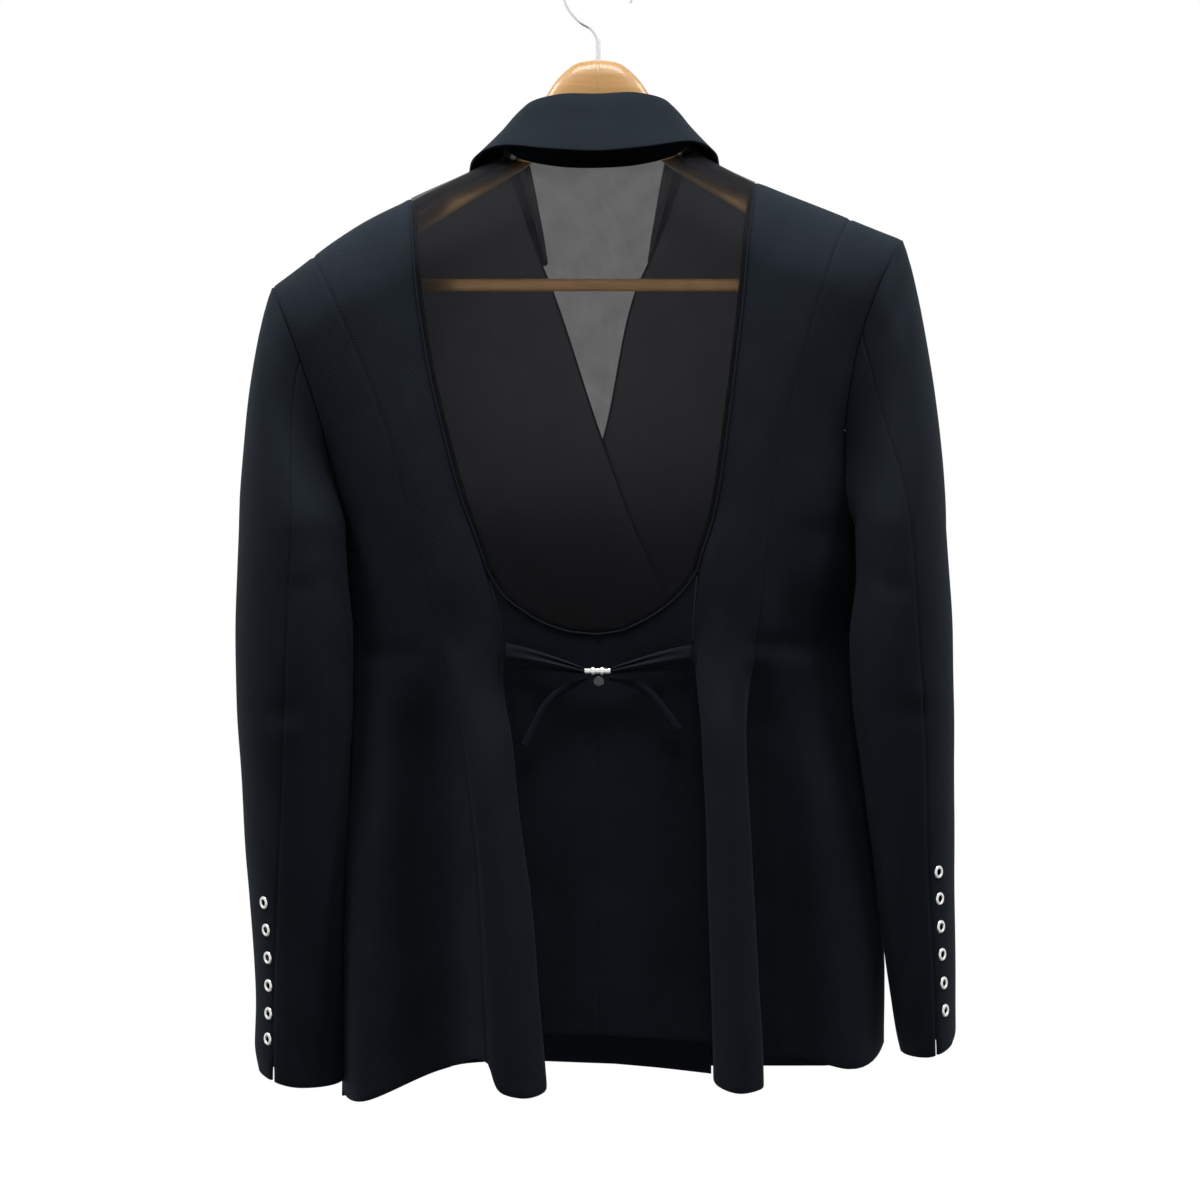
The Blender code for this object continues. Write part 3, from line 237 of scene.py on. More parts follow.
# Back seam of the sleeve: height, distance from the centre, from the armhole down.
SLEEVE_SEAM = {
    LEFT: (
        (-301, 223.5), (-315, 227), (-345, 229.5), (-425, 230.5), (-482, 233),
        (-559, 235.5), (-667, 239.3), (-760, 243), (-841, 244),
    ),
    RIGHT: (
        (-298, 202.5), (-345, 214.8), (-388, 228.2), (-425, 235), (-475, 239),
        (-511, 241), (-587, 246), (-667, 247.5), (-760, 252), (-819, 255),
    ),
}
SEAM_SEARCH = (55.0, 135.0)
FRONT_SEAM_ANGLE = -112.0
# How much less the cap stands out at its outer side, and how much higher the cuff is there.
CAP_SLIM, CUFF_RISE = {LEFT: 0.38, RIGHT: 0.5}, 7.0
VENT_LENGTH, VENT_OPENING = 32.0, 1.8

# Eyelets: height, distance from the centre.
EYELET_SPOTS = {
    LEFT: ((-707, 250.5), (-727, 248.8), (-747, 247.5), (-767, 247), (-787.5, 247), (-808, 247.5)),
    RIGHT: ((-684, 255.3), (-704, 256.2), (-724.5, 257), (-744.5, 258), (-765, 259.2), (-785, 260.3)),
}
EYELET_FLANGE_R, EYELET_BORE_R, EYELET_BARREL_R = 4.9, 2.4, 3.0
EYELET_HOLE_R = 3.4
EYELET_LIFT = 0.5


# ---------------------------------------------------------------- curves and sheets

def read_table(rows, at):
    """Every column of a table at the given heights, joined by a monotone cubic."""
    data = np.array(sorted(rows), float)
    knots, values = data[:, 0], data[:, 1:]
    steps = np.diff(knots)[:, None]
    slopes = np.diff(values, axis=0) / steps
    tangents = np.zeros_like(values)
    tangents[0], tangents[-1] = slopes[0], slopes[-1]
    before, after = slopes[:-1], slopes[1:]
    same_way = before * after > 0
    weight = (2 * steps[1:] + steps[:-1], steps[1:] + 2 * steps[:-1])
    safe = [np.where(same_way, part, 1.0) for part in (before, after)]
    mean = (weight[0] + weight[1]) / (weight[0] / safe[0] + weight[1] / safe[1])
    tangents[1:-1] = np.where(same_way, mean, 0.0)
    at = np.asarray(at, float)
    inside = np.clip(at, knots[0], knots[-1])
    k = np.clip(np.searchsorted(knots, inside) - 1, 0, len(knots) - 2)
    step = steps[k][..., 0]
    s = ((inside - knots[k]) / step)[..., None]
    step = step[..., None]
    found = (
        (1 + 2 * s) * (1 - s) ** 2 * values[k]
        + s * (1 - s) ** 2 * step * tangents[k]
        + s * s * (3 - 2 * s) * values[k + 1]
        + s * s * (s - 1) * step * tangents[k + 1]
    )
    beyond = (at - inside)[..., None]
    return found + beyond * np.where(beyond < 0, tangents[0], tangents[-1])


def across(columns, u, end_direction=None, end_weight=0.0):
    """Smooth curve over columns[k] (each an array of points), read at parameters u."""
    points = np.asarray(columns, float)
    legs = np.diff(points, axis=0)
    length = np.maximum(np.linalg.norm(legs, axis=-1, keepdims=True), 1e-6)
    direction = legs / length
    tangents = np.empty_like(points)
    both = length[:-1] + length[1:]
    tangents[1:-1] = (direction[:-1] * length[1:] + direction[1:] * length[:-1]) / both
    tangents[0], tangents[-1] = direction[0], direction[-1]
    if end_direction is not None:
        weight = np.asarray(end_weight)[..., None]
        tangents[-1] = tangents[-1] * (1 - weight) + np.array(end_direction) * weight
    u = np.asarray(u, float)
    k = np.clip(u.astype(int), 0, len(points) - 2)
    s = (u - k)[:, None, None]
    return (
        (1 + 2 * s) * (1 - s) ** 2 * points[k]
        + s * (1 - s) ** 2 * length[k] * tangents[k]
        + s * s * (3 - 2 * s) * points[k + 1]
        + s * s * (s - 1) * length[k] * tangents[k + 1]
    )


def smoothstep(value):
    value = np.clip(value, 0.0, 1.0)
    return value * value * (3 - 2 * value)


def true_place(points):
    """Moves points from the picture plane to their real place behind or before it."""
    points = np.array(points, float)
    nearer = 1 - points[..., 1] / VIEW_DISTANCE
    points[..., 0] = VIEW_X + (points[..., 0] - VIEW_X) * nearer
    points[..., 2] = VIEW_Z + (points[..., 2] - VIEW_Z) * nearer
    return points


def inset(grid, first_row=0.0, last_row=0.0, first_column=0.0, last_column=0.0):
    """Draws the borders of a grid in by these lengths, which leaves the seam gaps."""
    grid = np.array(grid, float)
    for amount, border, inner in (
        (first_row, grid[0], grid[1]),
        (last_row, grid[-1], grid[-2]),
        (first_column, grid[:, 0], grid[:, 1]),
        (last_column, grid[:, -1], grid[:, -2]),
    ):
        way = inner - border
        border += way / np.maximum(np.linalg.norm(way, axis=-1, keepdims=True), 1e-6) * amount
    return grid


def normals_of(grid):
    down = np.gradient(grid, axis=0)
    along = np.gradient(grid, axis=1)
    normal = np.cross(down, along)
    return normal / np.maximum(np.linalg.norm(normal, axis=-1, keepdims=True), 1e-9)


def facing(grid, outward):
    """The grid's normals, all on the side that outward points to at its middle."""
    normal = normals_of(grid)
    middle = normal[normal.shape[0] // 2, normal.shape[1] // 2]
    return normal if np.dot(middle, outward) > 0 else -normal


# ---------------------------------------------------------------- the body's surfaces

def shoulder_z(side, distance):
    return read_table(SHOULDER[side], distance)[..., 0]


def shoulder_round(side, x, y, z):
    """Rounds a body surface over the shoulder, down to its full depth at SHOULDER_DROP."""
    drop = np.clip((shoulder_z(side, np.abs(x)) - z) / SHOULDER_DROP, 0.0, 1.0)
    return SHOULDER_SEAM_Y + (y - SHOULDER_SEAM_Y) * np.sqrt(1 - (1 - drop) ** 2)


def back_column_tops(side):
    """Height where each back column reaches the shoulder line."""
    tops = np.full(8, -220.0)
    for _ in range(20):
        x = np.diagonal(read_table(BACK_X[side], tops))
        tops = 0.5 * tops + 0.5 * shoulder_z(side, x)
    return tops


def row_heights(tops, underarm, hems, rows):
    """Heights at rows 0 (shoulder) to 1 (underarm) to 2 (hem), as [column][row]."""
    tops, hems = (np.array(heights, float)[:, None] for heights in (tops, hems))
    upper = tops + (underarm - tops) * np.clip(rows, 0, 1)
    return upper + (hems - underarm) * np.clip(np.asarray(rows, float) - 1, 0, 1)


def back_points(side, rows, u):
    """The back of one side at rows and column parameters u, as [u][row] points."""
    z = row_heights(back_column_tops(side), UNDERARM_Z[side], HEM_Z[side], rows)
    x, y = np.empty_like(z), np.empty_like(z)
    for k in range(len(z)):
        x[k] = read_table(BACK_X[side], z[k])[:, k]
        y[k] = shoulder_round(side, x[k], read_table(BACK_Y[side], z[k])[:, k], z[k])
    columns = np.stack([x, y, z], axis=-1)
    rounding = smoothstep((np.asarray(rows, float) - 0.7) / 0.3)
    found = across(columns, u, (0, -1, 0), rounding)
    found[..., 0] *= side
    found[:, np.asarray(rows) == 0, 1] = SHOULDER_SEAM_Y
    return found


def inner_edge(side, z):
    """Inner edge of the back at heights z, from the shoulder to the U corner and on down."""
    z = np.asarray(z, float)
    x = read_table(BACK_X[side], z)[..., EDGE]
    y = shoulder_round(side, x, read_table(BACK_Y[side], z)[..., EDGE], z)
    return np.stack([side * x, y, z], axis=-1)


def inset_y(x, z):
    """Depth of the sheer inset and of the centre panels, hung between the two inner edges."""
    flat = [read_table(BACK_Y[side], z)[..., EDGE] for side in (LEFT, RIGHT)]
    reach = [read_table(BACK_X[side], z)[..., EDGE] for side in (LEFT, RIGHT)]
    share = np.clip((x + reach[1]) / (reach[0] + reach[1]), 0, 1)
    depth = flat[0] * share + flat[1] * (1 - share) + 14.0 * share * (1 - share)
    left = shoulder_round(LEFT, x, depth, z)
    right = shoulder_round(RIGHT, x, depth, z)
    return np.where(np.asarray(x) > 0, left, right)


def front_half_width(x, z):
    """Half width of the front body: the side seam's below the underarm, a table's above."""
    section = read_table(FRONT_SECTION, z)
    found = []
    for side, above in ((LEFT, section[..., 0]), (RIGHT, section[..., 1])):
        below = read_table(BACK_X[side], z)[..., SIDE]
        found.append(np.where(np.asarray(z) < UNDERARM_Z[side], below, above))
    return np.where(np.asarray(x) > 0, *found)


def front_y(x, z):
    """Outer face of the front body at x and z, without the overlap's step."""
    wide = front_half_width(x, z)
    power = FRONT_SQUARENESS
    side_y = np.where(
        np.asarray(x) > 0,
        *(read_table(BACK_Y[side], np.minimum(z, UNDERARM_Z[side]))[..., SIDE] for side in (LEFT, RIGHT)),
    )
    rise = (1 - np.clip(np.abs(x) / wide, 0, 1) ** power) ** (1 / power)
    flat = side_y * (1 - rise) - read_table(FRONT_SECTION, z)[..., 2] * rise
    left = shoulder_round(LEFT, x, flat, z)
    return np.where(np.asarray(x) > 0, left, shoulder_round(RIGHT, x, flat, z))


def overlap_step(x, z):
    """How far the outer front stands off the under front."""
    return OVERLAP_STEP * smoothstep((x + 130) / 35) * smoothstep((-z - 205) / 110)


def front_angle(reach, wide):
    """Angle round the front section, 0 at the side and 90 degrees at the centre."""
    share = np.clip(reach / wide, -1, 1)
    return np.arccos(np.sign(share) * np.abs(share) ** (FRONT_SQUARENESS / 2))


def front_reach(side, top_z, q):
    """Distance from the centre along the front's shoulder edge."""
    ends = (read_table(BACK_X[side], top_z[0])[SIDE], read_table(FRONT_EDGE[side], top_z[1])[0])
    wide = FRONT_SECTION[0][1 if side == LEFT else 2]
    start, finish = (front_angle(end, max(wide, ends[0])) for end in ends)
    return np.cos(start + (finish - start) * q) ** (2 / FRONT_SQUARENESS) * max(wide, ends[0])


def front_points(side, rows, q):
    """One front at rows and shares q from its side (0) to its inner edge (1), as [row][q]."""
    rows, q = np.asarray(rows, float), np.asarray(q, float)
    top = back_column_tops(side)[SIDE]
    outer_hem, inner_hem = FRONT_HEM[side][-1][1], FRONT_HEM[side][0][1]
    neck = FRONT_EDGE[side][0][0]
    z_side, z_edge = row_heights((top, neck), UNDERARM_Z[side], (outer_hem, inner_hem), rows)
    scoop = ARMHOLE_SCOOP * np.sin(math.pi * np.clip(rows, 0, 1)) ** 2
    reach_side = read_table(BACK_X[side], z_side)[:, SIDE] - scoop
    reach_edge = read_table(FRONT_EDGE[side], z_edge)[:, 0]
    wide_side = np.maximum(front_half_width(side * np.ones_like(z_side), z_side), reach_side)
    wide_edge = front_half_width(side * np.sign(reach_edge), z_edge)
    start = front_angle(reach_side, wide_side)
    finish = front_angle(reach_edge, wide_edge)
    angle = start[:, None] + (finish - start)[:, None] * q
    z = z_side[:, None] + (z_edge - z_side)[:, None] * smoothstep(q)
    share = np.sign(np.cos(angle)) * np.abs(np.cos(angle)) ** (2 / FRONT_SQUARENESS)
    x = side * share * front_half_width(side * np.sign(share), z)
    top_z = row_heights((top, neck), UNDERARM_Z[side], (outer_hem, inner_hem), [0])[:, 0]
    line_z = top_z[0] + (top_z[1] - top_z[0]) * smoothstep(q)
    line_x = front_reach(side, (top_z[0], top_z[1]), q)
    z = z + (shoulder_z(side, line_x) - line_z) * np.clip(1 - rows, 0, 1)[:, None] ** 2
    hem_z = outer_hem + (inner_hem - outer_hem) * smoothstep(q)
    z = z + (read_table(FRONT_HEM[side], side * x)[..., 0] - hem_z) * np.clip(rows - 1, 0, 1)[:, None] ** 2
    y = front_y(x, z)
    if side == RIGHT:
        y = y - overlap_step(x, z)
    y[rows == 0] = SHOULDER_SEAM_Y
    return np.stack([x, y, z], axis=-1)


# ---------------------------------------------------------------- colours and folds

CLOTH_MAP = "cloth_mm"
SUITING_DARK, SUITING_LIGHT = (0.0078, 0.0105, 0.0145), (0.0165, 0.0215, 0.0285)
NET_COLOR, NET_BASE = (0.0080, 0.0083, 0.0096), 0.46
LINING_COLOR = (0.038, 0.039, 0.045)
WOOD_LIGHT, WOOD_DARK = (0.46, 0.26, 0.085), (0.35, 0.18, 0.05)
BACKDROP_LIGHT, ROOM_LIGHT = 1.0, 0.025
FACING_ROWS, FACING_Y = 24, -12.0
KEY_POWER, SIDE_POWER, TOP_POWER, FRONT_POWER, INNER_POWER = 9.0, 8.0, 5.0, 4.0, 0.4
FLOOR_Z = -1.5

# Creases: side of the cloth (1 back, -1 front, 0 both), line of (x, z), depth, width, ridge.
BACK_CREASES = {
    LEFT: (
        (1, ((128, -520), (158, -523), (184, -519)), 1.4, 9, 0.6),
        (1, ((140, -560), (150, -640), (143, -760)), 2.5, 22, 0.5),
    ),
    RIGHT: (
        (1, ((-112, -513), (-144, -515), (-166, -518)), 3.0, 7, 1.2),
        (1, ((-118, -530), (-128, -640), (-132, -800)), 2.5, 18, 0.5),
    ),
}
INSET_CREASES = (
    (0, ((130, -280), (98, -290), (66, -300)), 0.9, 5, 0.4),
    (0, ((118, -310), (102, -334), (94, -382), (80, -418)), 0.8, 5, 0.3),
)
LOWER_CREASES = ((0, ((40, -560), (30, -660), (34, -780)), 2.0, 16, 1.0),)
FRONT_CREASES = (
    (-1, ((60, -566), (110, -545), (160, -520)), 1.8, 10, 0.8),
    (-1, ((60, -566), (105, -590), (150, -620)), 1.6, 12, 0.7),
    (-1, ((40, -560), (-20, -540), (-80, -510)), 1.6, 10, 0.7),
    (-1, ((-150, -420), (-120, -500), (-128, -600)), 1.6, 16, 0.6),
)
SLEEVE_CREASES = {
    LEFT: (
        (1, ((240, -284), (236, -296), (228, -306)), 1.2, 5, 0.5),
        (1, ((196, -460), (214, -470), (232, -474)), 1.2, 8, 0.5),
        (0, ((262, -560), (240, -566), (214, -560)), 1.0, 9, 0.5),
    ),
    RIGHT: (
        (1, ((-233, -232), (-223, -272), (-208, -290)), 3.0, 7, 1.4),
        (1, ((-200, -455), (-214, -468), (-236, -474)), 1.4, 8, 0.6),
        (0, ((-264, -560), (-240, -566), (-212, -560)), 1.0, 9, 0.5),
    ),
}

# ---------------------------------------------------------------- folds

def distance_to(line, x, z):
    """Signed distance to a line of (x, z) points, and the share along it of the nearest point."""
    line = np.array(line, float)
    legs = np.diff(line, axis=0)
    lengths = np.linalg.norm(legs, axis=1)
    before = np.concatenate([[0], np.cumsum(lengths)])
    best = np.full(np.shape(x), 1e9)
    signed, along = np.zeros_like(best), np.zeros_like(best)
    for k, (start, leg, length) in enumerate(zip(line[:-1], legs, lengths)):
        dx, dz = x - start[0], z - start[1]
        at = np.clip((dx * leg[0] + dz * leg[1]) / length**2, 0, 1)
        off = np.hypot(dx - at * leg[0], dz - at * leg[1])
        side_of = np.where(leg[0] * dz - leg[1] * dx >= 0, 1.0, -1.0)
        nearer = off < best
        best = np.where(nearer, off, best)
        signed = np.where(nearer, off * side_of, signed)
        along = np.where(nearer, (before[k] + at * length) / before[-1], along)
    return signed, along


def crease(line, depth, width, ridge, x, z):
    """A soft trough along a line that fades at both ends, with a ridge beside it."""
    off, along = distance_to(line, x, z)
    fade = np.clip(np.sin(math.pi * np.clip(along, 0.0, 1.0)), 0, 1) ** 0.7
    uneven = 1 + 0.25 * np.sin(7.0 * along + line[0][0])
    trough = np.exp(-((off / width) ** 2))
    beside = np.exp(-(((off - 1.7 * width) / (1.2 * width)) ** 2))
    return fade * uneven * (ridge * beside - depth * trough)


def unevenness(x, z, turn):
    """The small slow waves of cloth that hangs free, about half a millimetre either way."""
    return (
        0.42 * np.sin(x / 21.0 + z / 57.0 + turn) * np.sin(z / 33.0 - x / 71.0 + 2 * turn)
        + 0.22 * np.sin(x / 11.0 - z / 41.0 + 3 * turn) * np.sin(z / 19.0 + 1.7 * turn)
    )


def folded(grid, outward, creases=(), swell=1.0, turn=0.0, free=None):
    """The grid moved along its normals by its creases and unevenness, held still at its edges."""
    normal = facing(grid, outward)
    x, z = grid[..., 0], grid[..., 2]
    move = swell * unevenness(x, z, turn)
    for face, line, depth, width, ridge in creases:
        toward = smoothstep(0.5 + 1.2 * face * normal[..., 1]) if face else 1.0
        move = move + toward * crease(line, depth, width, ridge, x, z)
    if free is not None:
        move = move * free
    return grid + normal * move[..., None]


def border_distance(grid):
    """Distance of each point from the first and last column of its row."""
    legs = np.linalg.norm(np.diff(grid, axis=1), axis=-1)
    run = np.concatenate([np.zeros((len(grid), 1)), np.cumsum(legs, axis=1)], axis=1)
    return run, run[:, -1:] - run


def seamed(grid, outward, first=True, last=True):
    """Rolls the cloth down into the seams at its first and last column."""
    normal = facing(grid, outward)
    from_first, from_last = border_distance(grid)
    dip = np.zeros(grid.shape[:2])
    for wanted, distance in ((first, from_first), (last, from_last)):
        if wanted:
            dip += SEAM_DIP * np.exp(-((distance / SEAM_ROLL) ** 2))
    return grid - normal * dip[..., None]


def crowded(start, stop, count, ends=(True, True)):
    """Steps from start to stop, with a few close ones at the seamed ends."""
    close = np.array((0.0, 0.05, 0.12, 0.22, 0.38, 0.62))
    step = (stop - start) / count
    first = start + close * 2 * step if ends[0] else np.array([start, start + step])
    last = stop - close[::-1] * 2 * step if ends[1] else np.array([stop - step, stop])
    middle = np.linspace(start + 2 * step, stop - 2 * step, count - 3)
    return np.concatenate([first, middle, last])


# ---------------------------------------------------------------- meshes and pieces

def grid_mesh(name, grid, outward):
    """Open mesh over a grid, faces turned outward, with a map of its cloth in millimetres."""
    rows, columns = grid.shape[:2]
    r, c = np.meshgrid(np.arange(rows - 1), np.arange(columns - 1), indexing="ij")
    first = (r * columns + c).ravel()
    faces = np.stack([first, first + 1, first + columns + 1, first + columns], axis=1)
    middle = normals_of(grid)[rows // 2, columns // 2]
    if np.dot(middle, outward) > 0:
        faces = faces[:, ::-1]
    mesh = bpy.data.meshes.new(name)
    mesh.from_pydata((grid.reshape(-1, 3) * MM).tolist(), [], faces.tolist())
    across_run = border_distance(grid)[0]
    down_run = border_distance(grid.transpose(1, 0, 2))[0].T
    flat = np.stack([across_run - across_run[:, columns // 2: columns // 2 + 1], down_run], axis=-1)
    layer = mesh.uv_layers.new(name=CLOTH_MAP)
    layer.data.foreach_set("uv", flat.reshape(-1, 2)[faces.ravel()].ravel())
    mesh.shade_smooth()
    return mesh


def add_piece(name, data, look, node):
    piece = bpy.data.objects.new(name, data)
    bpy.context.scene.collection.objects.link(piece)
    data.materials.append(look)
    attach(piece, "root")
    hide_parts(node)
    return piece


def cut_size(grid):
    """Width, length and area of the cloth in metres, laid flat."""
    wide = border_distance(grid)[0][:, -1].max()
    long = border_distance(grid.transpose(1, 0, 2))[0][:, -1].max()
    over, down = np.diff(grid, axis=1)[:-1], np.diff(grid, axis=0)[:, :-1]
    area = np.linalg.norm(np.cross(over, down), axis=-1).sum()
    return (wide * MM, long * MM), min(area, wide * long) * MM * MM


def cloth(node, grid, outward, look, thickness=CLOTH, held="hung"):
    """A cloth wall that stands for a node, its outer face on the grid of the picture plane.

    held is None for a narrow trim.
    """
    true_grid = true_place(grid)
    piece = add_piece(node + "_cloth", grid_mesh(node + "_cloth", true_grid, outward), look, node)
    wall = piece.modifiers.new("wall", "SOLIDIFY")
    wall.thickness = thickness * MM
    wall.offset = -1.0
    wall.use_quality_normals = True
    edge = piece.modifiers.new("edge", "BEVEL")
    edge.width = 0.28 * thickness * MM
    edge.segments = 2
    edge.limit_method = "ANGLE"
    edge.angle_limit = math.radians(50)
    if held:
        flat, area = cut_size(true_grid)
    return piece


# ---------------------------------------------------------------- materials

def node_tree(name, color, roughness, **sockets):
    made = bpy.data.materials.new(name)
    made.use_nodes = True
    shader = made.node_tree.nodes["Principled BSDF"]
    shader.inputs["Base Color"].default_value = (*color, 1.0)
    shader.inputs["Roughness"].default_value = roughness
    for socket, value in sockets.items():
        shader.inputs[socket.replace("_", " ")].default_value = value
    return made, made.node_tree, shader


def add(tree, kind, settings=None, **inputs):
    """A shader node: its settings, then its input values or links, by name or number."""
    node = tree.nodes.new("ShaderNode" + kind)
    for key, value in (settings or {}).items():
        setattr(node, key, value)
    for key, value in inputs.items():
        socket = node.inputs[int(key[1:])] if key[0] == "i" and key[1:].isdigit() else node.inputs[key.replace("_", " ")]
        if isinstance(value, bpy.types.NodeSocket):
            tree.links.new(value, socket)
        else:
            socket.default_value = value
    return node


def maths(tree, operation, a, b=0.0):
    return add(tree, "Math", {"operation": operation}, i0=a, i1=b).outputs[0]


def ramp(tree, factor, low, high):
    """Blend of two colours by a factor from 0 to 1."""
    mix = add(tree, "Mix", {"data_type": "RGBA"}, i0=factor)
    mix.inputs[6].default_value = (*low, 1.0)
    mix.inputs[7].default_value = (*high, 1.0)
    return mix.outputs[2]


def bump_of(tree, height, distance, strength=1.0):
    return add(tree, "Bump", None, Height=height, Distance=distance, Strength=strength).outputs[0]


def twill(tree, coordinates, pitch):
    """Height of a fine twill: diagonal ribs broken by its threads."""
    ribs = add(tree, "TexWave", {"bands_direction": "DIAGONAL"}, Vector=coordinates, Scale=0.314 / pitch,
               Distortion=1.2, Detail=2.0, Detail_Scale=1.5)
    threads = add(tree, "TexWave", {"bands_direction": "Y"}, Vector=coordinates, Scale=0.52 / pitch,
                  Distortion=0.8, Detail=1.0)
    return maths(tree, "MULTIPLY_ADD", ribs.outputs["Fac"], 0.7), threads.outputs["Fac"]


def suiting_look():
    """Very dark green-blue wool twill: fine ribs, a nap that catches the light, and uneven dye."""
    made, tree, shader = node_tree("suiting_twill", SUITING_DARK, 0.82, Sheen_Weight=0.035,
                                   Sheen_Roughness=0.42, Specular_IOR_Level=0.05)
    shader.inputs["Sheen Tint"].default_value = (0.62, 0.78, 0.9, 1.0)
    coordinates = add(tree, "UVMap", {"uv_map": CLOTH_MAP}).outputs[0]
    ribs, threads = twill(tree, coordinates, 0.95)
    nap = add(tree, "TexNoise", None, Vector=coordinates, Scale=1.1, Detail=4.0, Roughness=0.7).outputs["Fac"]
    dye = add(tree, "TexNoise", None, Vector=coordinates, Scale=0.022, Detail=3.0).outputs["Fac"]
    fleck = maths(tree, "MULTIPLY", nap, dye)
    factor = maths(tree, "ADD", maths(tree, "MULTIPLY", ribs, 0.28), maths(tree, "MULTIPLY", fleck, 1.9))
    tree.links.new(ramp(tree, maths(tree, "MULTIPLY", factor, 0.9), SUITING_DARK, SUITING_LIGHT), shader.inputs["Base Color"])
    height = maths(tree, "ADD", maths(tree, "ADD", ribs, maths(tree, "MULTIPLY", threads, 0.35)), nap)
    tree.links.new(bump_of(tree, height, 0.00022, 0.55), shader.inputs["Normal"])
    return made


def mesh_look():
    """Sheer black net: most of the light is held, and its threads show as a fine grid."""
    made, tree, shader = node_tree("sheer_net", NET_COLOR, 0.65, Specular_IOR_Level=0.06)
    coordinates = add(tree, "UVMap", {"uv_map": CLOTH_MAP}).outputs[0]
    over = add(tree, "TexWave", {"bands_direction": "X"}, Vector=coordinates, Scale=0.314 / 0.8, Distortion=0.6, Detail=1.0)
    down = add(tree, "TexWave", {"bands_direction": "Y"}, Vector=coordinates, Scale=0.314 / 0.8, Distortion=0.6, Detail=1.0)
    cloudy = add(tree, "TexNoise", None, Vector=coordinates, Scale=0.05, Detail=3.0).outputs["Fac"]
    grid = maths(tree, "MAXIMUM", over.outputs["Fac"], down.outputs["Fac"])
    held = maths(tree, "ADD", maths(tree, "MULTIPLY", grid, 0.22), maths(tree, "MULTIPLY", cloudy, 0.10))
    tree.links.new(maths(tree, "ADD", held, NET_BASE), shader.inputs["Alpha"])
    tree.links.new(bump_of(tree, grid, 0.0001, 0.4), shader.inputs["Normal"])
    return made


def lining_look():
    made, tree, shader = node_tree("lining_satin", LINING_COLOR, 0.42, Specular_IOR_Level=0.3)
    coordinates = add(tree, "UVMap", {"uv_map": CLOTH_MAP}).outputs[0]
    yarn = add(tree, "TexWave", {"bands_direction": "Y"}, Vector=coordinates, Scale=0.5, Distortion=2.0, Detail=2.0)
    cloudy = add(tree, "TexNoise", None, Vector=coordinates, Scale=0.04, Detail=3.0).outputs["Fac"]
    tree.links.new(ramp(tree, cloudy, tuple(0.75 * c for c in LINING_COLOR), tuple(1.25 * c for c in LINING_COLOR)),
                   shader.inputs["Base Color"])
    tree.links.new(bump_of(tree, yarn.outputs["Fac"], 0.00006, 0.5), shader.inputs["Normal"])
    return made


def wood_look(name, turn):
    """Clear-varnished pale wood, its grain along the piece."""
    made, tree, shader = node_tree(name, WOOD_LIGHT, 0.36, Coat_Weight=0.35, Coat_Roughness=0.18)
    place = add(tree, "TexCoord").outputs["Object"]
    along = add(tree, "Mapping", None, Vector=place, Rotation=(0.0, turn, 0.0), Scale=(9.0, 130.0, 130.0)).outputs[0]
    grain = add(tree, "TexNoise", None, Vector=along, Scale=1.0, Detail=6.0, Roughness=0.62, Distortion=0.4).outputs["Fac"]
    pores = add(tree, "TexNoise", None, Vector=along, Scale=7.0, Detail=2.0).outputs["Fac"]
    factor = maths(tree, "MULTIPLY", maths(tree, "SUBTRACT", grain, 0.3), 2.2)
    tree.links.new(ramp(tree, factor, WOOD_DARK, WOOD_LIGHT), shader.inputs["Base Color"])
    tree.links.new(ramp(tree, pores, (0.3, 0.3, 0.3), (0.5, 0.5, 0.5)), shader.inputs["Roughness"])
    tree.links.new(bump_of(tree, maths(tree, "ADD", grain, maths(tree, "MULTIPLY", pores, 0.4)), 0.0002, 0.5), shader.inputs["Normal"])
    return made


def metal_look(name, color, roughness):
    """Polished metal with faint handling marks."""
    made, tree, shader = node_tree(name, color, roughness, Metallic=1.0)
    place = add(tree, "TexCoord").outputs["Object"]
    marks = add(tree, "TexNoise", None, Vector=place, Scale=900.0, Detail=3.0).outputs["Fac"]
    spread = add(tree, "MapRange", None, Value=marks, To_Min=roughness * 0.7, To_Max=roughness * 1.6)
    tree.links.new(spread.outputs[0], shader.inputs["Roughness"])
    tree.links.new(bump_of(tree, marks, 0.00002, 0.3), shader.inputs["Normal"])
    return made


def gloss_look(name, color, roughness):
    """Moulded, lightly scuffed plastic or enamel."""
    made, tree, shader = node_tree(name, color, roughness, Coat_Weight=0.4, Coat_Roughness=0.1)
    place = add(tree, "TexCoord").outputs["Object"]
    scuff = add(tree, "TexNoise", None, Vector=place, Scale=500.0, Detail=4.0).outputs["Fac"]
    spread = add(tree, "MapRange", None, Value=scuff, To_Min=roughness * 0.8, To_Max=roughness * 1.5)
    tree.links.new(spread.outputs[0], shader.inputs["Roughness"])
    tree.links.new(ramp(tree, scuff, tuple(0.8 * c for c in color), tuple(1.3 * c for c in color)), shader.inputs["Base Color"])
    return made

# ---------------------------------------------------------------- body pieces

BODY_ROWS = np.concatenate([np.linspace(0, 1, 74) ** 1.5, 1 + np.linspace(0, 1, 84)[1:]])
SEAM_DIP, SEAM_ROLL = 0.75, 1.5


def build_backs():
    for side in (LEFT, RIGHT):
        name = SIDE_NAME[side]
        for piece, start, stop, count in (("inner", EDGE, PRINCESS, 40), ("outer", PRINCESS, SIDE, 30)):
            grid = back_points(side, BODY_ROWS, crowded(start, stop, count)).transpose(1, 0, 2)
            from_first, from_last = border_distance(grid)
            still = smoothstep(from_last / 14) if piece == "outer" else smoothstep(from_first / 10)
            grid = folded(grid, (0, 1, 0), BACK_CREASES[side], 1.0, 1.3 * side, still)
            grid = seamed(grid, (0, 1, 0))
            grid = inset(grid, SEAM_GAP, 0, SEAM_GAP, SEAM_GAP)
            cloth(f"back_{piece}_{name}", grid, (0, 1, 0), LOOK["suiting"])


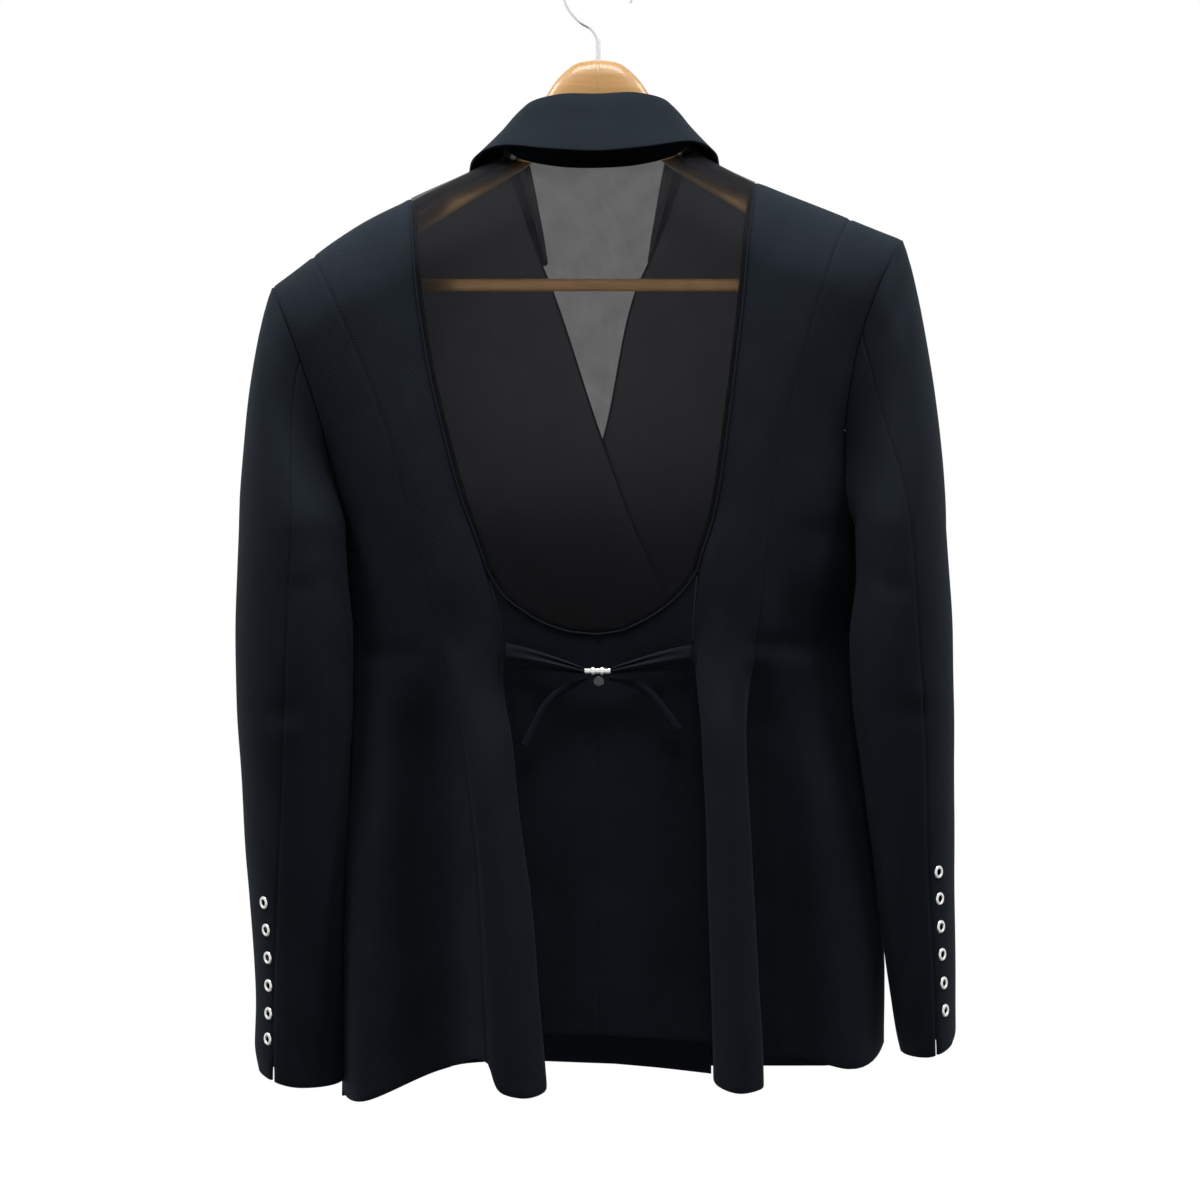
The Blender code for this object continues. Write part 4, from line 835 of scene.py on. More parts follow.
def coons(top, bottom, left, right):
    """Surface between four border curves, as [down][across]; the corners meet."""
    down = np.linspace(0, 1, len(left))[:, None, None]
    over = np.linspace(0, 1, len(top))[None, :, None]
    lofted = (1 - down) * top + down * bottom + (1 - over) * left[:, None] + over * right[:, None]
    top_corners = (1 - over) * top[0] + over * top[-1]
    bottom_corners = (1 - over) * bottom[0] + over * bottom[-1]
    return lofted - (1 - down) * top_corners - down * bottom_corners


def along_outline(outline, count):
    """Points at even steps along an outline of (x, z) corners."""
    outline = np.array(outline, float)
    length = np.concatenate([[0], np.cumsum(np.linalg.norm(np.diff(outline, axis=0), axis=1))])
    table = np.column_stack([length, outline])
    return read_table(table.tolist(), np.linspace(0, length[-1], count))


def u_curve(side, count):
    """The U's lower edge from the inner edge to the centre, as (x, z) points."""
    curve = along_outline(U_BOTTOM[side], count)
    curve[:, 0] *= side
    return curve


def u_border(side, count):
    """The U's whole edge of one side from the shoulder to the centre, as seen points."""
    top = back_column_tops(side)[EDGE]
    z = top + (U_CORNER_Z[side] - top) * np.linspace(0, 1, count)
    lower = u_curve(side, count // 3)[1:]
    low_y = inset_y(lower[:, 0], lower[:, 1])
    return np.concatenate([inner_edge(side, z), np.stack([lower[:, 0], low_y, lower[:, 1]], axis=-1)])


INSET_ROWS, INSET_HALF, INSET_SHOULDER = 110, 42, 14
INSET_EDGE = 0.4


def build_inset():
    half = INSET_HALF
    tops = {side: back_column_tops(side)[EDGE] for side in (LEFT, RIGHT)}
    shoulder = {}
    for side in (LEFT, RIGHT):
        end_x = abs(inner_edge(side, tops[side])[0])
        shoulder_x = np.linspace(end_x, NECK_HALF[side], INSET_SHOULDER + 1)[:-1]
        shoulder[side] = np.column_stack([side * shoulder_x, shoulder_z(side, shoulder_x)])
    neck = along_outline(NECK_LINE, 2 * (half - INSET_SHOULDER) + 1)
    top = np.concatenate([shoulder[LEFT], neck, shoulder[RIGHT][::-1]])
    bottom = np.concatenate([u_curve(LEFT, half + 1), u_curve(RIGHT, half + 1)[-2::-1]])
    shares = np.linspace(0, 1, INSET_ROWS) ** 1.25
    borders = []
    for side in (LEFT, RIGHT):
        z = tops[side] + (U_CORNER_Z[side] - tops[side]) * shares
        borders.append(inner_edge(side, z)[:, [0, 2]])
    flat = coons(top, bottom, *borders)
    grid = np.stack([flat[..., 0], inset_y(flat[..., 0], flat[..., 1]), flat[..., 1]], axis=-1)
    grid[0, : INSET_SHOULDER + 1, 1] = grid[0, -INSET_SHOULDER - 1:, 1] = SHOULDER_SEAM_Y
    rows, columns = grid.shape[:2]
    hold = np.sin(math.pi * np.linspace(0, 1, columns))[None] ** 0.5 * np.linspace(0, 1, rows)[:, None] ** 0.3
    hold = hold * (1 - np.linspace(0, 1, rows)[:, None] ** 12)
    grid = folded(grid, (0, 1, 0), INSET_CREASES, 0.8, 0.7, hold)
    cloth("back_inset", inset(grid, 0.1, INSET_EDGE, INSET_EDGE, INSET_EDGE), (0, 1, 0), LOOK["mesh"],
          MESH_CLOTH)
    for side in (LEFT, RIGHT):
        build_u_edge(side)


BINDING_WIDTH, PIPING_R = 4.2, 0.75


def build_u_edge(side):
    """The dark seam allowance that shows inside the net, and the fine piping on the seam."""
    name = SIDE_NAME[side]
    line = u_border(side, 96)
    way = np.gradient(line, axis=0)
    inward = np.stack([way[:, 2], np.zeros(len(way)), -way[:, 0]], axis=-1)
    inward /= np.linalg.norm(inward, axis=1, keepdims=True)
    inward *= np.sign((np.array([0.0, 0, -300.0]) - line[0]) @ inward[0])
    strip = line[:, None] + inward[:, None] * (np.array([-0.5, 0.2, 0.55, 1.0]) * BINDING_WIDTH)[None, :, None]
    strip[..., 1] -= 1.7
    strip[:3, :, 1] -= 1.0
    piece = add_piece(f"seam_allowance_{name}", grid_mesh("strip", true_place(strip[2:]), (0, 1, 0)),
                      LOOK["suiting"], "back_inset")
    wall = piece.modifiers.new("wall", "SOLIDIFY")
    wall.thickness = 0.5 * MM
    wall.offset = -1.0
    ring = np.linspace(0, 2 * math.pi, 9)[:-1]
    lift = line + np.array([0.0, 0.35, 0.0])
    points = lift[:, None] + PIPING_R * (
        inward[:, None] * np.cos(ring)[None, :, None] + np.array([0.0, 1.0, 0.0]) * np.sin(ring)[None, :, None]
    )
    tube("piping_" + name, true_place(points[1:]), LOOK["piping"], "back_inset")


def tube(name, rings, look, node):
    """A closed tube over rings of true points."""
    count, sides = rings.shape[:2]
    faces = [
        (r * sides + k, r * sides + (k + 1) % sides, (r + 1) * sides + (k + 1) % sides, (r + 1) * sides + k)
        for r in range(count - 1)
        for k in range(sides)
    ]
    faces.append(tuple(range(sides))[::-1])
    faces.append(tuple((count - 1) * sides + k for k in range(sides)))
    mesh = bpy.data.meshes.new(name)
    mesh.from_pydata((rings.reshape(-1, 3) * MM).tolist(), [], faces)
    mesh.shade_smooth()
    piece = add_piece(name, mesh, look, node)
    clean = piece.modifiers.new("clean", "WELD")
    clean.merge_threshold = 0.00001
    return piece


def build_back_lower():
    rows = np.linspace(0, 1, 90)
    for side in (LEFT, RIGHT):
        top = u_curve(side, 40)
        share = 1 - top[:, 0] / inner_edge(side, top[:, 1])[:, 0]
        hem = LOWER_HEM_Z[side] * (1 - share) + CENTRE_HEM_Z * share
        z = top[:, 1] + (hem - top[:, 1]) * rows[:, None]
        x = inner_edge(side, z)[..., 0] * (1 - share)
        grid = np.stack([x, inset_y(x, z), z], axis=-1)
        hold = np.clip(rows * 8, 0, 1)[:, None]
        grid = folded(grid, (0, 1, 0), LOWER_CREASES, 0.9, 0.4, hold)
        grid = seamed(grid, (0, 1, 0), False, True)
        grid = inset(grid, 0.6, 0, 1.6, SEAM_GAP)
        cloth(f"back_lower_{SIDE_NAME[side]}", grid, (0, 1, 0), LOOK["suiting"])


def build_fronts():
    for side in (LEFT, RIGHT):
        name = SIDE_NAME[side]
        whole = front_points(side, BODY_ROWS, crowded(0, 1, 64, (True, False)))
        whole = folded(whole, (0, -1, 0), FRONT_CREASES, 0.9, 2.1 * side)
        grid = inset(seamed(whole, (0, -1, 0), True, False), SEAM_GAP, 0, SEAM_GAP, 0)
        cloth(f"front_{name}", grid, (0, -1, 0), LOOK["suiting"])
        inner = whole - facing(whole, (0, -1, 0)) * (CLOTH + LINING_GAP)
        inner = inset(inner[5:-7:2, 6::2], 0, 0, 0, LINING_EDGE)
        cloth(f"lining_{name}", inner, (0, -1, 0), LOOK["lining"], LINING, "hung")


# ---------------------------------------------------------------- sleeves

SEAM_ANGLE, VENT_ANGLE = 0.12, 2.4


def armhole_points(side, angles):
    """The armhole, by angle: 0 at the shoulder, 90 at the back, 180 at the underarm."""
    rows = (1 - np.cos(np.radians(angles))) / 2
    back = back_points(side, rows, [SIDE])[0]
    front = front_points(side, rows, [0])[:, 0]
    front[:, 0] = side * np.abs(front[:, 0])
    at_back = np.sin(np.radians(angles)) >= -1e-9
    return np.where(at_back[:, None], back, front)


def sleeve_ring(side, angles, z):
    outer, inner, middle, half_depth = np.moveaxis(read_table(SLEEVE[side], z), -1, 0)
    turn = np.radians(angles)
    x = (outer + inner) / 2 + (outer - inner) / 2 * np.cos(turn)
    y = middle + half_depth * np.sin(turn)
    level = z + (z - VIEW_Z) * y / VIEW_DISTANCE * smoothstep((-z - 700) / 100)
    level = level + CUFF_RISE * np.clip(np.cos(turn), 0, 1) ** 2 * smoothstep((-z - 780) / 60)
    return np.stack([side * x, y, level], axis=-1)


def sleeve_angle(side, z, distance):
    """Angle on the back of the sleeve that lies at this distance from the centre."""
    outer, inner = np.moveaxis(read_table(SLEEVE[side], z), -1, 0)[:2]
    share = (distance - (outer + inner) / 2) / ((outer - inner) / 2)
    return np.degrees(np.arccos(np.clip(share, -1, 1)))


def sleeve_rows(side, count_cap, count_arm):
    cap = np.linspace(0, 1, count_cap) ** 1.2
    arm = np.linspace(SLEEVE[side][0][0], SLEEVE_HEM_Z[side], count_arm + 1)[1:]
    return cap, arm


def sleeve_points(side, cap, arm, cap_angles, arm_angles):
    """Sleeve surface: the cap from the armhole to the first ring, then rings down the arm."""
    start_z = float(SLEEVE[side][0][0])
    rows = []
    for share, angles in zip(cap, cap_angles):
        turn = np.radians(angles)
        hole = armhole_points(side, angles)
        ring = sleeve_ring(side, angles, np.full(len(angles), start_z))
        back = np.sin(turn) ** 2
        under = smoothstep((-np.cos(turn) - 0.2) / 0.8)
        sideways = side * (0.42 + 0.5 * back - 1.0 * under)
        out = np.stack([sideways, 0.18 * np.sin(turn), -1 + 0.35 * back], axis=-1)
        out /= np.linalg.norm(out, axis=-1, keepdims=True)
        hole = hole + out * 0.3 * ARMHOLE_GAP
        hole[:, 0] += side * ARMHOLE_GAP * (1 + 1.1 * np.clip(np.cos(turn), 0, 1) ** 2)
        reach = np.linalg.norm(ring - hole, axis=-1, keepdims=True)
        fullness = 0.95 - CAP_SLIM[side] * np.clip(np.cos(turn), 0, 1)[:, None] - 0.4 * under[:, None]
        down = np.zeros_like(out)
        down[:, 2] = -1
        s = share
        rows.append(
            (1 + 2 * s) * (1 - s) ** 2 * hole
            + s * (1 - s) ** 2 * out * reach * fullness
            + s * s * (3 - 2 * s) * ring
            + s * s * (s - 1) * down * reach * 0.9
        )
    for z, angles in zip(arm, arm_angles):
        rows.append(sleeve_ring(side, angles, np.full(len(angles), z)))
    return np.array(rows)


def seam_angles(side, cap, arm):
    """Angle of the back seam at each row of the sleeve."""
    table = SLEEVE_SEAM[side]
    tries = np.linspace(*SEAM_SEARCH, 161)
    found = sleeve_points(side, cap, [], [tries] * len(cap), [])
    off = side * found[..., 0] - read_table(table, found[..., 2])[..., 0]
    cap_seam = np.array([np.interp(0, -row, tries) for row in off])
    arm_seam = np.array([float(sleeve_angle(side, z, read_table(table, z)[0])) for z in arm])
    return cap_seam, arm_seam


def build_sleeve(side):
    name = SIDE_NAME[side]
    spots = EYELET_SPOTS[side]
    cap, arm = sleeve_rows(side, 44, 96)
    seams = np.concatenate(seam_angles(side, cap, arm))
    row_z = np.concatenate([np.full(len(cap), SLEEVE[side][0][0]), arm])
    spot_angle = [(z, float(sleeve_angle(side, z, distance))) for z, distance in spots]
    gap = SEAM_ANGLE + VENT_ANGLE * smoothstep((SLEEVE_HEM_Z[side] + VENT_LENGTH - row_z) / VENT_LENGTH)
    steps = crowded(0, 1, 52)
    upper, under = [], []
    for seam, opening in zip(seams, gap):
        last = FRONT_SEAM_ANGLE + SEAM_ANGLE
        upper.append(seam - opening + (last - seam + opening) * steps)
        last = 360 + FRONT_SEAM_ANGLE - SEAM_ANGLE
        under.append(seam + opening + (last - seam - opening) * steps)
    split = len(cap)
    pieces = (("upper", upper, (side, 0.3, 0)), ("under", under, (-side, 0.5, 0)))
    for piece, angles, outward in pieces:
        grid = sleeve_points(side, cap, arm, np.array(angles[:split]), np.array(angles[split:]))
        hold = np.clip(np.arange(len(grid)) / 14.0, 0, 1)[:, None] ** 0.8
        grid = folded(grid, outward, SLEEVE_CREASES[side], 1.1, 0.9 * side, hold)
        grid = seamed(grid, outward)
        part = cloth(f"sleeve_{piece}_{name}", grid, outward, LOOK["suiting"])
        if piece == "upper":
            build_eyelets(part, side, spot_angle)


def spot_frame(side, z, angle):
    """Place and outward direction of a spot on the sleeve, in true millimetres."""
    around = np.array([angle - 6, angle, angle + 6])
    points = [true_place(sleeve_ring(side, around, np.full(3, z + step))) for step in (4, 0, -4)]
    normal = np.cross(points[1][2] - points[1][0], points[2][1] - points[0][1])
    normal /= np.linalg.norm(normal)
    return points[1][1], normal if normal[0] * side > 0 else -normal


def turned(name, profile, look, node, steps=48):
    """A ring or disc: the profile of (radius, height) turned about Z, closed on itself."""
    mesh = bpy.data.meshes.new(name)
    points = [(radius * MM, 0, height * MM) for radius, height in reversed(profile)]
    count = len(points)
    edges = [(k, k + 1) for k in range(count - 1)]
    if profile[0][0] != 0:
        edges.append((count - 1, 0))
    mesh.from_pydata(points, edges, [])
    part = add_piece(name, mesh, look, node)
    screw = part.modifiers.new("turn", "SCREW")
    screw.steps = screw.render_steps = steps
    screw.use_merge_vertices = True
    screw.merge_threshold = 0.00001
    screw.use_smooth_shade = True
    edge = part.modifiers.new("edge", "BEVEL")
    edge.width = 0.12 * MM
    edge.segments = 2
    edge.limit_method = "ANGLE"
    edge.angle_limit = math.radians(24)
    return part


def aim(part, position, normal):
    """Puts a turned part at a place with its axis along the normal; both in millimetres."""
    part.location = Vector((position * MM).tolist())
    part.rotation_mode = "QUATERNION"
    part.rotation_quaternion = Vector(normal.tolist()).to_track_quat("Z", "Y")


def build_eyelets(sleeve, side, spots):
    mid = (EYELET_FLANGE_R + EYELET_BARREL_R) / 2
    profile = (
        (EYELET_BORE_R, -1.9),
        (EYELET_BARREL_R, -1.9),
        (EYELET_BARREL_R, 0.0),
        (EYELET_FLANGE_R - 0.1, 0.0),
        (EYELET_FLANGE_R, 0.35),
        (EYELET_FLANGE_R - 0.35, 0.8),
        (mid, 1.15),
        (EYELET_BARREL_R - 0.2, 1.05),
        (EYELET_BORE_R + 0.1, 0.6),
        (EYELET_BORE_R, 0.0),
    )
    holes = []
    for k, (z, angle) in enumerate(spots):
        node = f"eyelet_{SIDE_NAME[side]}_{k + 1}"
        position, normal = spot_frame(side, z, angle)
        aim(turned(node + "_ring", profile, LOOK["eyelet"], node), position, normal)
        bpy.ops.mesh.primitive_cylinder_add(vertices=32, radius=EYELET_HOLE_R * MM, depth=8 * MM)
        cutter = bpy.context.active_object
        aim(cutter, position, normal)
        holes.append(cutter)
    for k, cutter in enumerate(holes):
        hole = sleeve.modifiers.new(f"hole_{k + 1}", "BOOLEAN")
        hole.operation = "DIFFERENCE"
        hole.solver = "EXACT"
        hole.object = cutter
    bpy.context.view_layer.update()
    graph = bpy.context.evaluated_depsgraph_get()
    done = bpy.data.meshes.new_from_object(sleeve.evaluated_get(graph))
    sleeve.modifiers.clear()
    sleeve.data = done
    for cutter in holes:
        bpy.data.objects.remove(cutter, do_unlink=True)


# ---------------------------------------------------------------- collar, lapels, button

# Collar stations from the centre back round to the gorge, left side: neck seam, fold and outer
# edge, each as x, y, z.
COLLAR = (
    ((0, 38, -156), (0, 36, -101), (0, 60, -142.5)),
    ((30, 35.5, -155), (28, 34, -101.5), (36, 59, -141)),
    ((56, 25, -150), (46, 25, -107.5), (72, 44, -138.5)),
    ((68, 4, -143.5), (55, 2, -122.5), (92, 10, -147)),
    ((58, -28, -161), (52, -26, -144), (97, -30, -163)),
    ((47, -48, -194), (45, -48, -188), (97, -60, -194)),
    ((38.5, -60, -222), (37, -61, -225), (84, -66, -212)),
)
COLLAR_RIGHT_NARROW, COLLAR_RIGHT_RISE = 0.05, 3.9
FOLD_RADIUS = 3.2
COLLAR_CROWN, COLLAR_CLEAR, COLLAR_FRONT_Y = 4, 4.2, -15.0

# Lapels: height on the roll line, then the outer edge as distance from the centre and height.
LAPEL = {
    LEFT: (
        (-238, 118, -224), (-262, 112, -264), (-292, 98, -306),
        (-322, 76, -348), (-345, 48, -386), (-356, 24, -411),
    ),
    RIGHT: (
        (-231, 110, -217), (-262, 112, -262), (-310, 104, -315), (-361, 86, -372),
        (-420, 52, -435), (-480, 2, -497), (-535, -70, -546),
    ),
}
LAPEL_LIFT, LAPEL_ROLL = 2.9, 2.5
BUTTON_SPOT, BUTTON_R = (64.0, -566.0), 10.0


def collar_profile(station, side, narrow=0.0, rise=0.0):
    """Section of the collar from its neck seam over the fold to its edge."""
    seam, fold, edge = (np.array(point, float) for point in station)
    for point in (seam, fold, edge):
        outward = point[0] / 90
        point[2] += rise * outward
        point[0] *= side * (1 - narrow * outward**2)
    crown = fold - (seam + edge) / 2
    crown /= np.linalg.norm(crown)
    across_fold = (edge - seam) - crown * np.dot(edge - seam, crown)
    across_fold /= np.linalg.norm(across_fold)
    near = fold - crown * FOLD_RADIUS
    far = near + across_fold * 2 * FOLD_RADIUS
    return np.array([
        seam,
        (seam + near) / 2,
        near,
        near + across_fold * 0.3 * FOLD_RADIUS + crown * 0.75 * FOLD_RADIUS,
        near + across_fold * FOLD_RADIUS + crown * FOLD_RADIUS,
        near + across_fold * 1.7 * FOLD_RADIUS + crown * 0.75 * FOLD_RADIUS,
        far,
        far * 0.55 + edge * 0.45,
        edge,
    ])


def outer_front_y(points):
    """Outer face of the fronts at each point, the overlap's step included."""
    x, z = points[..., 0], points[..., 2]
    return front_y(x, z) - overlap_step(x, z) * (x < 0)


def lapel_points(side, along, over):
    """A lapel, as [along the roll line][from the roll line outwards]."""
    rows = read_table([(k, *row) for k, row in enumerate(LAPEL[side])], along)
    reach_roll = read_table(FRONT_EDGE[side], rows[:, 0])[:, 0]
    reach = reach_roll[:, None] + (rows[:, 1] - reach_roll)[:, None] * over
    z = rows[:, :1] + (rows[:, 2:] - rows[:, :1]) * over
    x = side * reach
    y = front_y(x, z) - LAPEL_LIFT - LAPEL_ROLL * (1 - over) ** 2
    if side == RIGHT:
        y = y - overlap_step(x, z)
    return np.stack([x, y, z], axis=-1)


def build_collar():
    left = [collar_profile(station, LEFT) for station in COLLAR]
    right = [
        collar_profile(station, RIGHT, COLLAR_RIGHT_NARROW, COLLAR_RIGHT_RISE)
        for station in COLLAR[1:]
    ]
    stations = np.array(left[::-1] + right)
    coarse = across(stations, np.linspace(0, len(stations) - 1, 150)).transpose(1, 0, 2)
    fall = coarse[COLLAR_CROWN:]
    outside = np.minimum(fall[..., 1], outer_front_y(fall) - COLLAR_CLEAR)
    fall[..., 1] = np.where(fall[..., 1] < COLLAR_FRONT_Y, outside, fall[..., 1])
    grid = across(coarse, np.concatenate([np.linspace(0, 2, 14), np.linspace(2, 6, 25)[1:], np.linspace(6, 8, 20)[1:]]))
    collar = cloth("collar", grid, (0, 0.3, 1), LOOK["suiting"], 1.6)
    collar.data.materials.append(LOOK["lining"])
    along = grid.shape[1] - 1
    ends = grid[..., 1] < FACING_Y
    for face in collar.data.polygons:
        row, column = divmod(face.index, along)
        if row < FACING_ROWS and ends[row, column]:
            face.material_index = 1


def build_lapels():
    for side in (LEFT, RIGHT):
        last = len(LAPEL[side]) - 1
        grid = lapel_points(side, np.linspace(0, last, 90), np.linspace(0, 1, 36))
        cloth(f"lapel_{SIDE_NAME[side]}", grid, (0, -1, 0), LOOK["suiting"])


def build_button():
    x, z = BUTTON_SPOT
    y = float(front_y(x, z)) - OVERLAP_STEP - 0.9
    profile = (
        (0, 0), (BUTTON_R - 0.6, 0), (BUTTON_R, 0.7), (BUTTON_R, 2.2), (BUTTON_R - 0.8, 3.0),
        (BUTTON_R - 2.2, 3.0), (BUTTON_R - 3.0, 2.3), (0, 2.2),
    )
    button = turned("front_button_disc", profile, LOOK["button"], "front_button")
    centre = true_place(np.array([x, y, z]))
    aim(button, centre, np.array([0.0, -1.0, 0.0]))
    for k, (dx, dz) in enumerate(((-1, -1), (1, -1), (1, 1), (-1, 1))):
        route = [(dx * 1.7, -2.35, dz * 1.7), (dx * 1.3, -2.9, dz * 0.9), (dx * 1.3, -2.9, -dz * 0.0)]
        rope(f"button_thread_{k + 1}", [centre + np.array(p) for p in route], 0.35, LOOK["suiting"],
             "front_button")


def rope(name, route, radius, look, node):
    """A smooth wire along true points in millimetres."""
    curve = bpy.data.curves.new(name, "CURVE")
    curve.dimensions = "3D"
    curve.bevel_depth = radius * MM
    curve.bevel_resolution = 4
    curve.use_fill_caps = True
    spline = curve.splines.new("POLY")
    spline.points.add(len(route) - 1)
    for point, place in zip(spline.points, route):
        point.co = (*(np.asarray(place, float) * MM).tolist(), 1)
    spline.use_smooth = True
    return add_piece(name, whole_mesh(name, curve), look, node)


def whole_mesh(name, curve):
    """The mesh of a curve with its thickness."""
    drawn = bpy.data.objects.new(name + "_route", curve)
    made = bpy.data.meshes.new_from_object(drawn)
    made.name = name
    made.shade_smooth()
    bpy.data.objects.remove(drawn)
    bpy.data.curves.remove(curve)
    return made


# ---------------------------------------------------------------- half-belt

# Straps: start at the panel seam and end at the clasp; x, upper height, lower height.
STRAP = {
    LEFT: ((69.3, -512.5, -531.5), (11.2, -530.6, -535.8)),
    RIGHT: ((-69.6, -513.8, -532.3), (-10.4, -530.6, -535.8)),
}
STRAP_OFF_SEAM, STRAP_OFF_CLASP = 3.6, 10.0
# Ties: x, height and width at the clasp, the bend and the free end.
TIE = {
    LEFT: ((8.5, -538.3, 3.2), (31, -550.5, 6.5), (55, -590, 7.6)),
    RIGHT: ((-8.5, -538.3, 3.2), (-29, -543.5, 6.5), (-61, -578, 7.6)),
}
TIE_OFF = 7.0
CLASP_PLACE, CLASP_HALF = (0.4, -533.2), 9.8
PENDANT_R, PENDANT_DROP = 4.2, 8.0
STRAP_PLEAT, STRAP_PLEATS, TIE_CROWN = 1.3, 2.5, 0.9


def build_belt():
    along, over = np.linspace(0, 1, 60), np.linspace(0, 1, 24)
    for side in (LEFT, RIGHT):
        (x0, top0, low0), (x1, top1, low1) = STRAP[side]
        x = np.repeat((x0 + (x1 - x0) * along)[:, None], len(over), axis=1)
        top = top0 + (top1 - top0) * along ** 1.3
        low = low0 + (low1 - low0) * along
        z = top[:, None] + (low - top)[:, None] * over
        lift = STRAP_OFF_SEAM + (STRAP_OFF_CLASP - STRAP_OFF_SEAM) * along[:, None] + 2.5 * np.sin(math.pi * over)
        pleat = STRAP_PLEAT * np.sin(2 * math.pi * STRAP_PLEATS * over)[None] * along[:, None] ** 0.8
        grid = np.stack([x, inset_y(x, z) + lift + pleat, z], axis=-1)
        strap = grid
        steps = np.linspace(0, 2, 60)
        path = across(np.array([[point[:2]] for point in TIE[side]], float), steps)[:, 0]
        width = read_table([(k, point[2]) for k, point in enumerate(TIE[side])], steps)[:, 0]
        way = np.gradient(path, axis=0)
        way /= np.linalg.norm(way, axis=1, keepdims=True)
        sideways = np.stack([-way[:, 1], way[:, 0]], axis=1)
        share = np.linspace(-0.5, 0.5, 11)
        flat = path[:, None] + sideways[:, None] * (width[:, None] * share)[..., None]
        crown = TIE_CROWN * (1 - (2 * share) ** 2)
        y = inset_y(flat[..., 0], flat[..., 1]) + TIE_OFF + crown
        grid = np.stack([flat[..., 0], y, flat[..., 1]], axis=-1)
        tie = cloth(f"tie_{SIDE_NAME[side]}", grid, (0, 1, 0), LOOK["tie"], 1.2, held=None)
        cloth(f"strap_{SIDE_NAME[side]}", strap, (0, 1, 0), LOOK["suiting"], 1.0, held="gathered")


def build_clasp():
    x, z = CLASP_PLACE
    y = float(inset_y(x, z)) + STRAP_OFF_CLASP
    half = CLASP_HALF
    profile = (
        (0, -half), (1.7, -half), (2.3, -half + 0.6), (2.3, -4.9), (3.1, -4.7), (3.4, -4.1), (3.4, -2.5),
        (3.1, -1.9), (2.3, -1.7), (2.3, 1.7), (3.1, 1.9), (3.4, 2.5), (3.4, 4.1), (3.1, 4.7), (2.3, 4.9),
        (2.3, half - 0.6), (1.7, half), (0, half),
    )
    clasp = turned("clasp_bar", profile, LOOK["clasp"], "clasp")
    aim(clasp, true_place(np.array([x, y, z])), np.array([1.0, 0.0, 0.0]))
    drop = (
        (0, -1.5), (PENDANT_R - 0.8, -1.5), (PENDANT_R, -0.6), (PENDANT_R, 0.6),
        (PENDANT_R - 0.5, 1.2), (PENDANT_R - 1.2, 1.5), (PENDANT_R - 2.2, 1.75), (0, 1.95),
    )
    pendant = turned("pendant_drop", drop, LOOK["enamel"], "pendant")
    aim(pendant, true_place(np.array([x - 1, y, z - PENDANT_DROP])), np.array([0.0, 1.0, 0.0]))


# ---------------------------------------------------------------- hanger

# Half of the arms: distance from the centre, top, bottom, half depth.
ARM_SECTIONS = (
    (0, -75, -118, 8.0),
    (14, -77, -124, 8.5),
    (28, -87, -134, 9.0),
    (40, -104, -143.5, 9.0),
    (50, -125, -152.5, 9.0),
    (59, -145, -159, 8.5),
    (66, -153.5, -163, 8.0),
    (76, -159, -169, 8.0),
    (104, -171, -186, 7.5),
    (136, -190, -205.7, 7.0),
    (165, -206, -222.5, 7.0),
    (179.7, -213.3, -231.5, 7.0),
    (180, -213.5, -252, 7.0),
    (190, -220.5, -253, 6.5),
    (197, -228, -250, 5.0),
    (200, -236, -244, 2.5),
)
ARM_SIDES = 40
BAR_Z, BAR_R, BAR_HALF = -243.75, 4.7, 179.3
HOOK_WIRE_R, HOOK_R = 1.8, 23.5
HOOK_FOOT_Z = -74.6


def build_hanger():
    half_x = np.concatenate([[0, 0.25, 0.7, 1.4], np.linspace(3, 176, 90), [178, 179.7, 180, 181.5], np.linspace(184, 200, 14)])
    joint = np.exp(-((half_x / 0.5) ** 2))
    table = [(row[0], *row[1:]) for row in ARM_SECTIONS]
    top, bottom, depth = np.moveaxis(read_table(table, half_x), -1, 0)
    turn = np.linspace(0, 2 * math.pi, ARM_SIDES, endpoint=False)
    shape = np.sign(np.cos(turn)) * np.abs(np.cos(turn)) ** 0.8, np.sign(np.sin(turn)) * np.abs(np.sin(turn)) ** 0.8
    x = np.concatenate([-half_x[:0:-1], half_x])
    top, bottom, depth, joint = (np.concatenate([v[:0:-1], v]) for v in (top, bottom, depth, joint))
    shrink = 1 - 0.05 * joint
    middle, half_height = (top + bottom) / 2, (top - bottom) / 2 * shrink
    rings = np.stack([
        np.repeat(x[:, None], ARM_SIDES, axis=1),
        (depth * shrink)[:, None] * shape[1],
        middle[:, None] + half_height[:, None] * shape[0],
    ], axis=-1)
    tube("hanger_arms_wood", rings, LOOK["wood"], "hanger_arms")
    ring = np.linspace(0, 2 * math.pi, 25)[:-1]
    bar_x = np.array([-BAR_HALF, -BAR_HALF + 0.4, *np.linspace(-BAR_HALF + 8, BAR_HALF - 8, 30), BAR_HALF - 0.4, BAR_HALF])
    radius = BAR_R * np.where(np.abs(bar_x) > BAR_HALF - 0.1, 0.92, 1.0)
    rings = np.stack([
        np.repeat(bar_x[:, None], len(ring), axis=1),
        radius[:, None] * np.sin(ring),
        BAR_Z + radius[:, None] * np.cos(ring),
    ], axis=-1)
    tube("hanger_bar_wood", rings, LOOK["wood"], "hanger_bar")
    reach = HOOK_R + HOOK_WIRE_R
    stem = [(0, HOOK_FOOT_Z), (0, -64.5), (0.6, -58), (5.5, -51), (13, -46.3)]
    loop = [
        (reach * math.cos(math.radians(a)), -HOOK_R + reach * math.sin(math.radians(a)))
        for a in range(-40, 206, 15)
    ]
    corners = np.array([[(x, 0.0, z)] for x, z in stem + loop])
    smooth = across(corners, np.linspace(0, len(corners) - 1, 200))[:, 0]
    rope("hanger_hook_wire", smooth, HOOK_WIRE_R, LOOK["hook"], "hanger_hook")


# ---------------------------------------------------------------- studio

CAMERA_LENS = 88.0


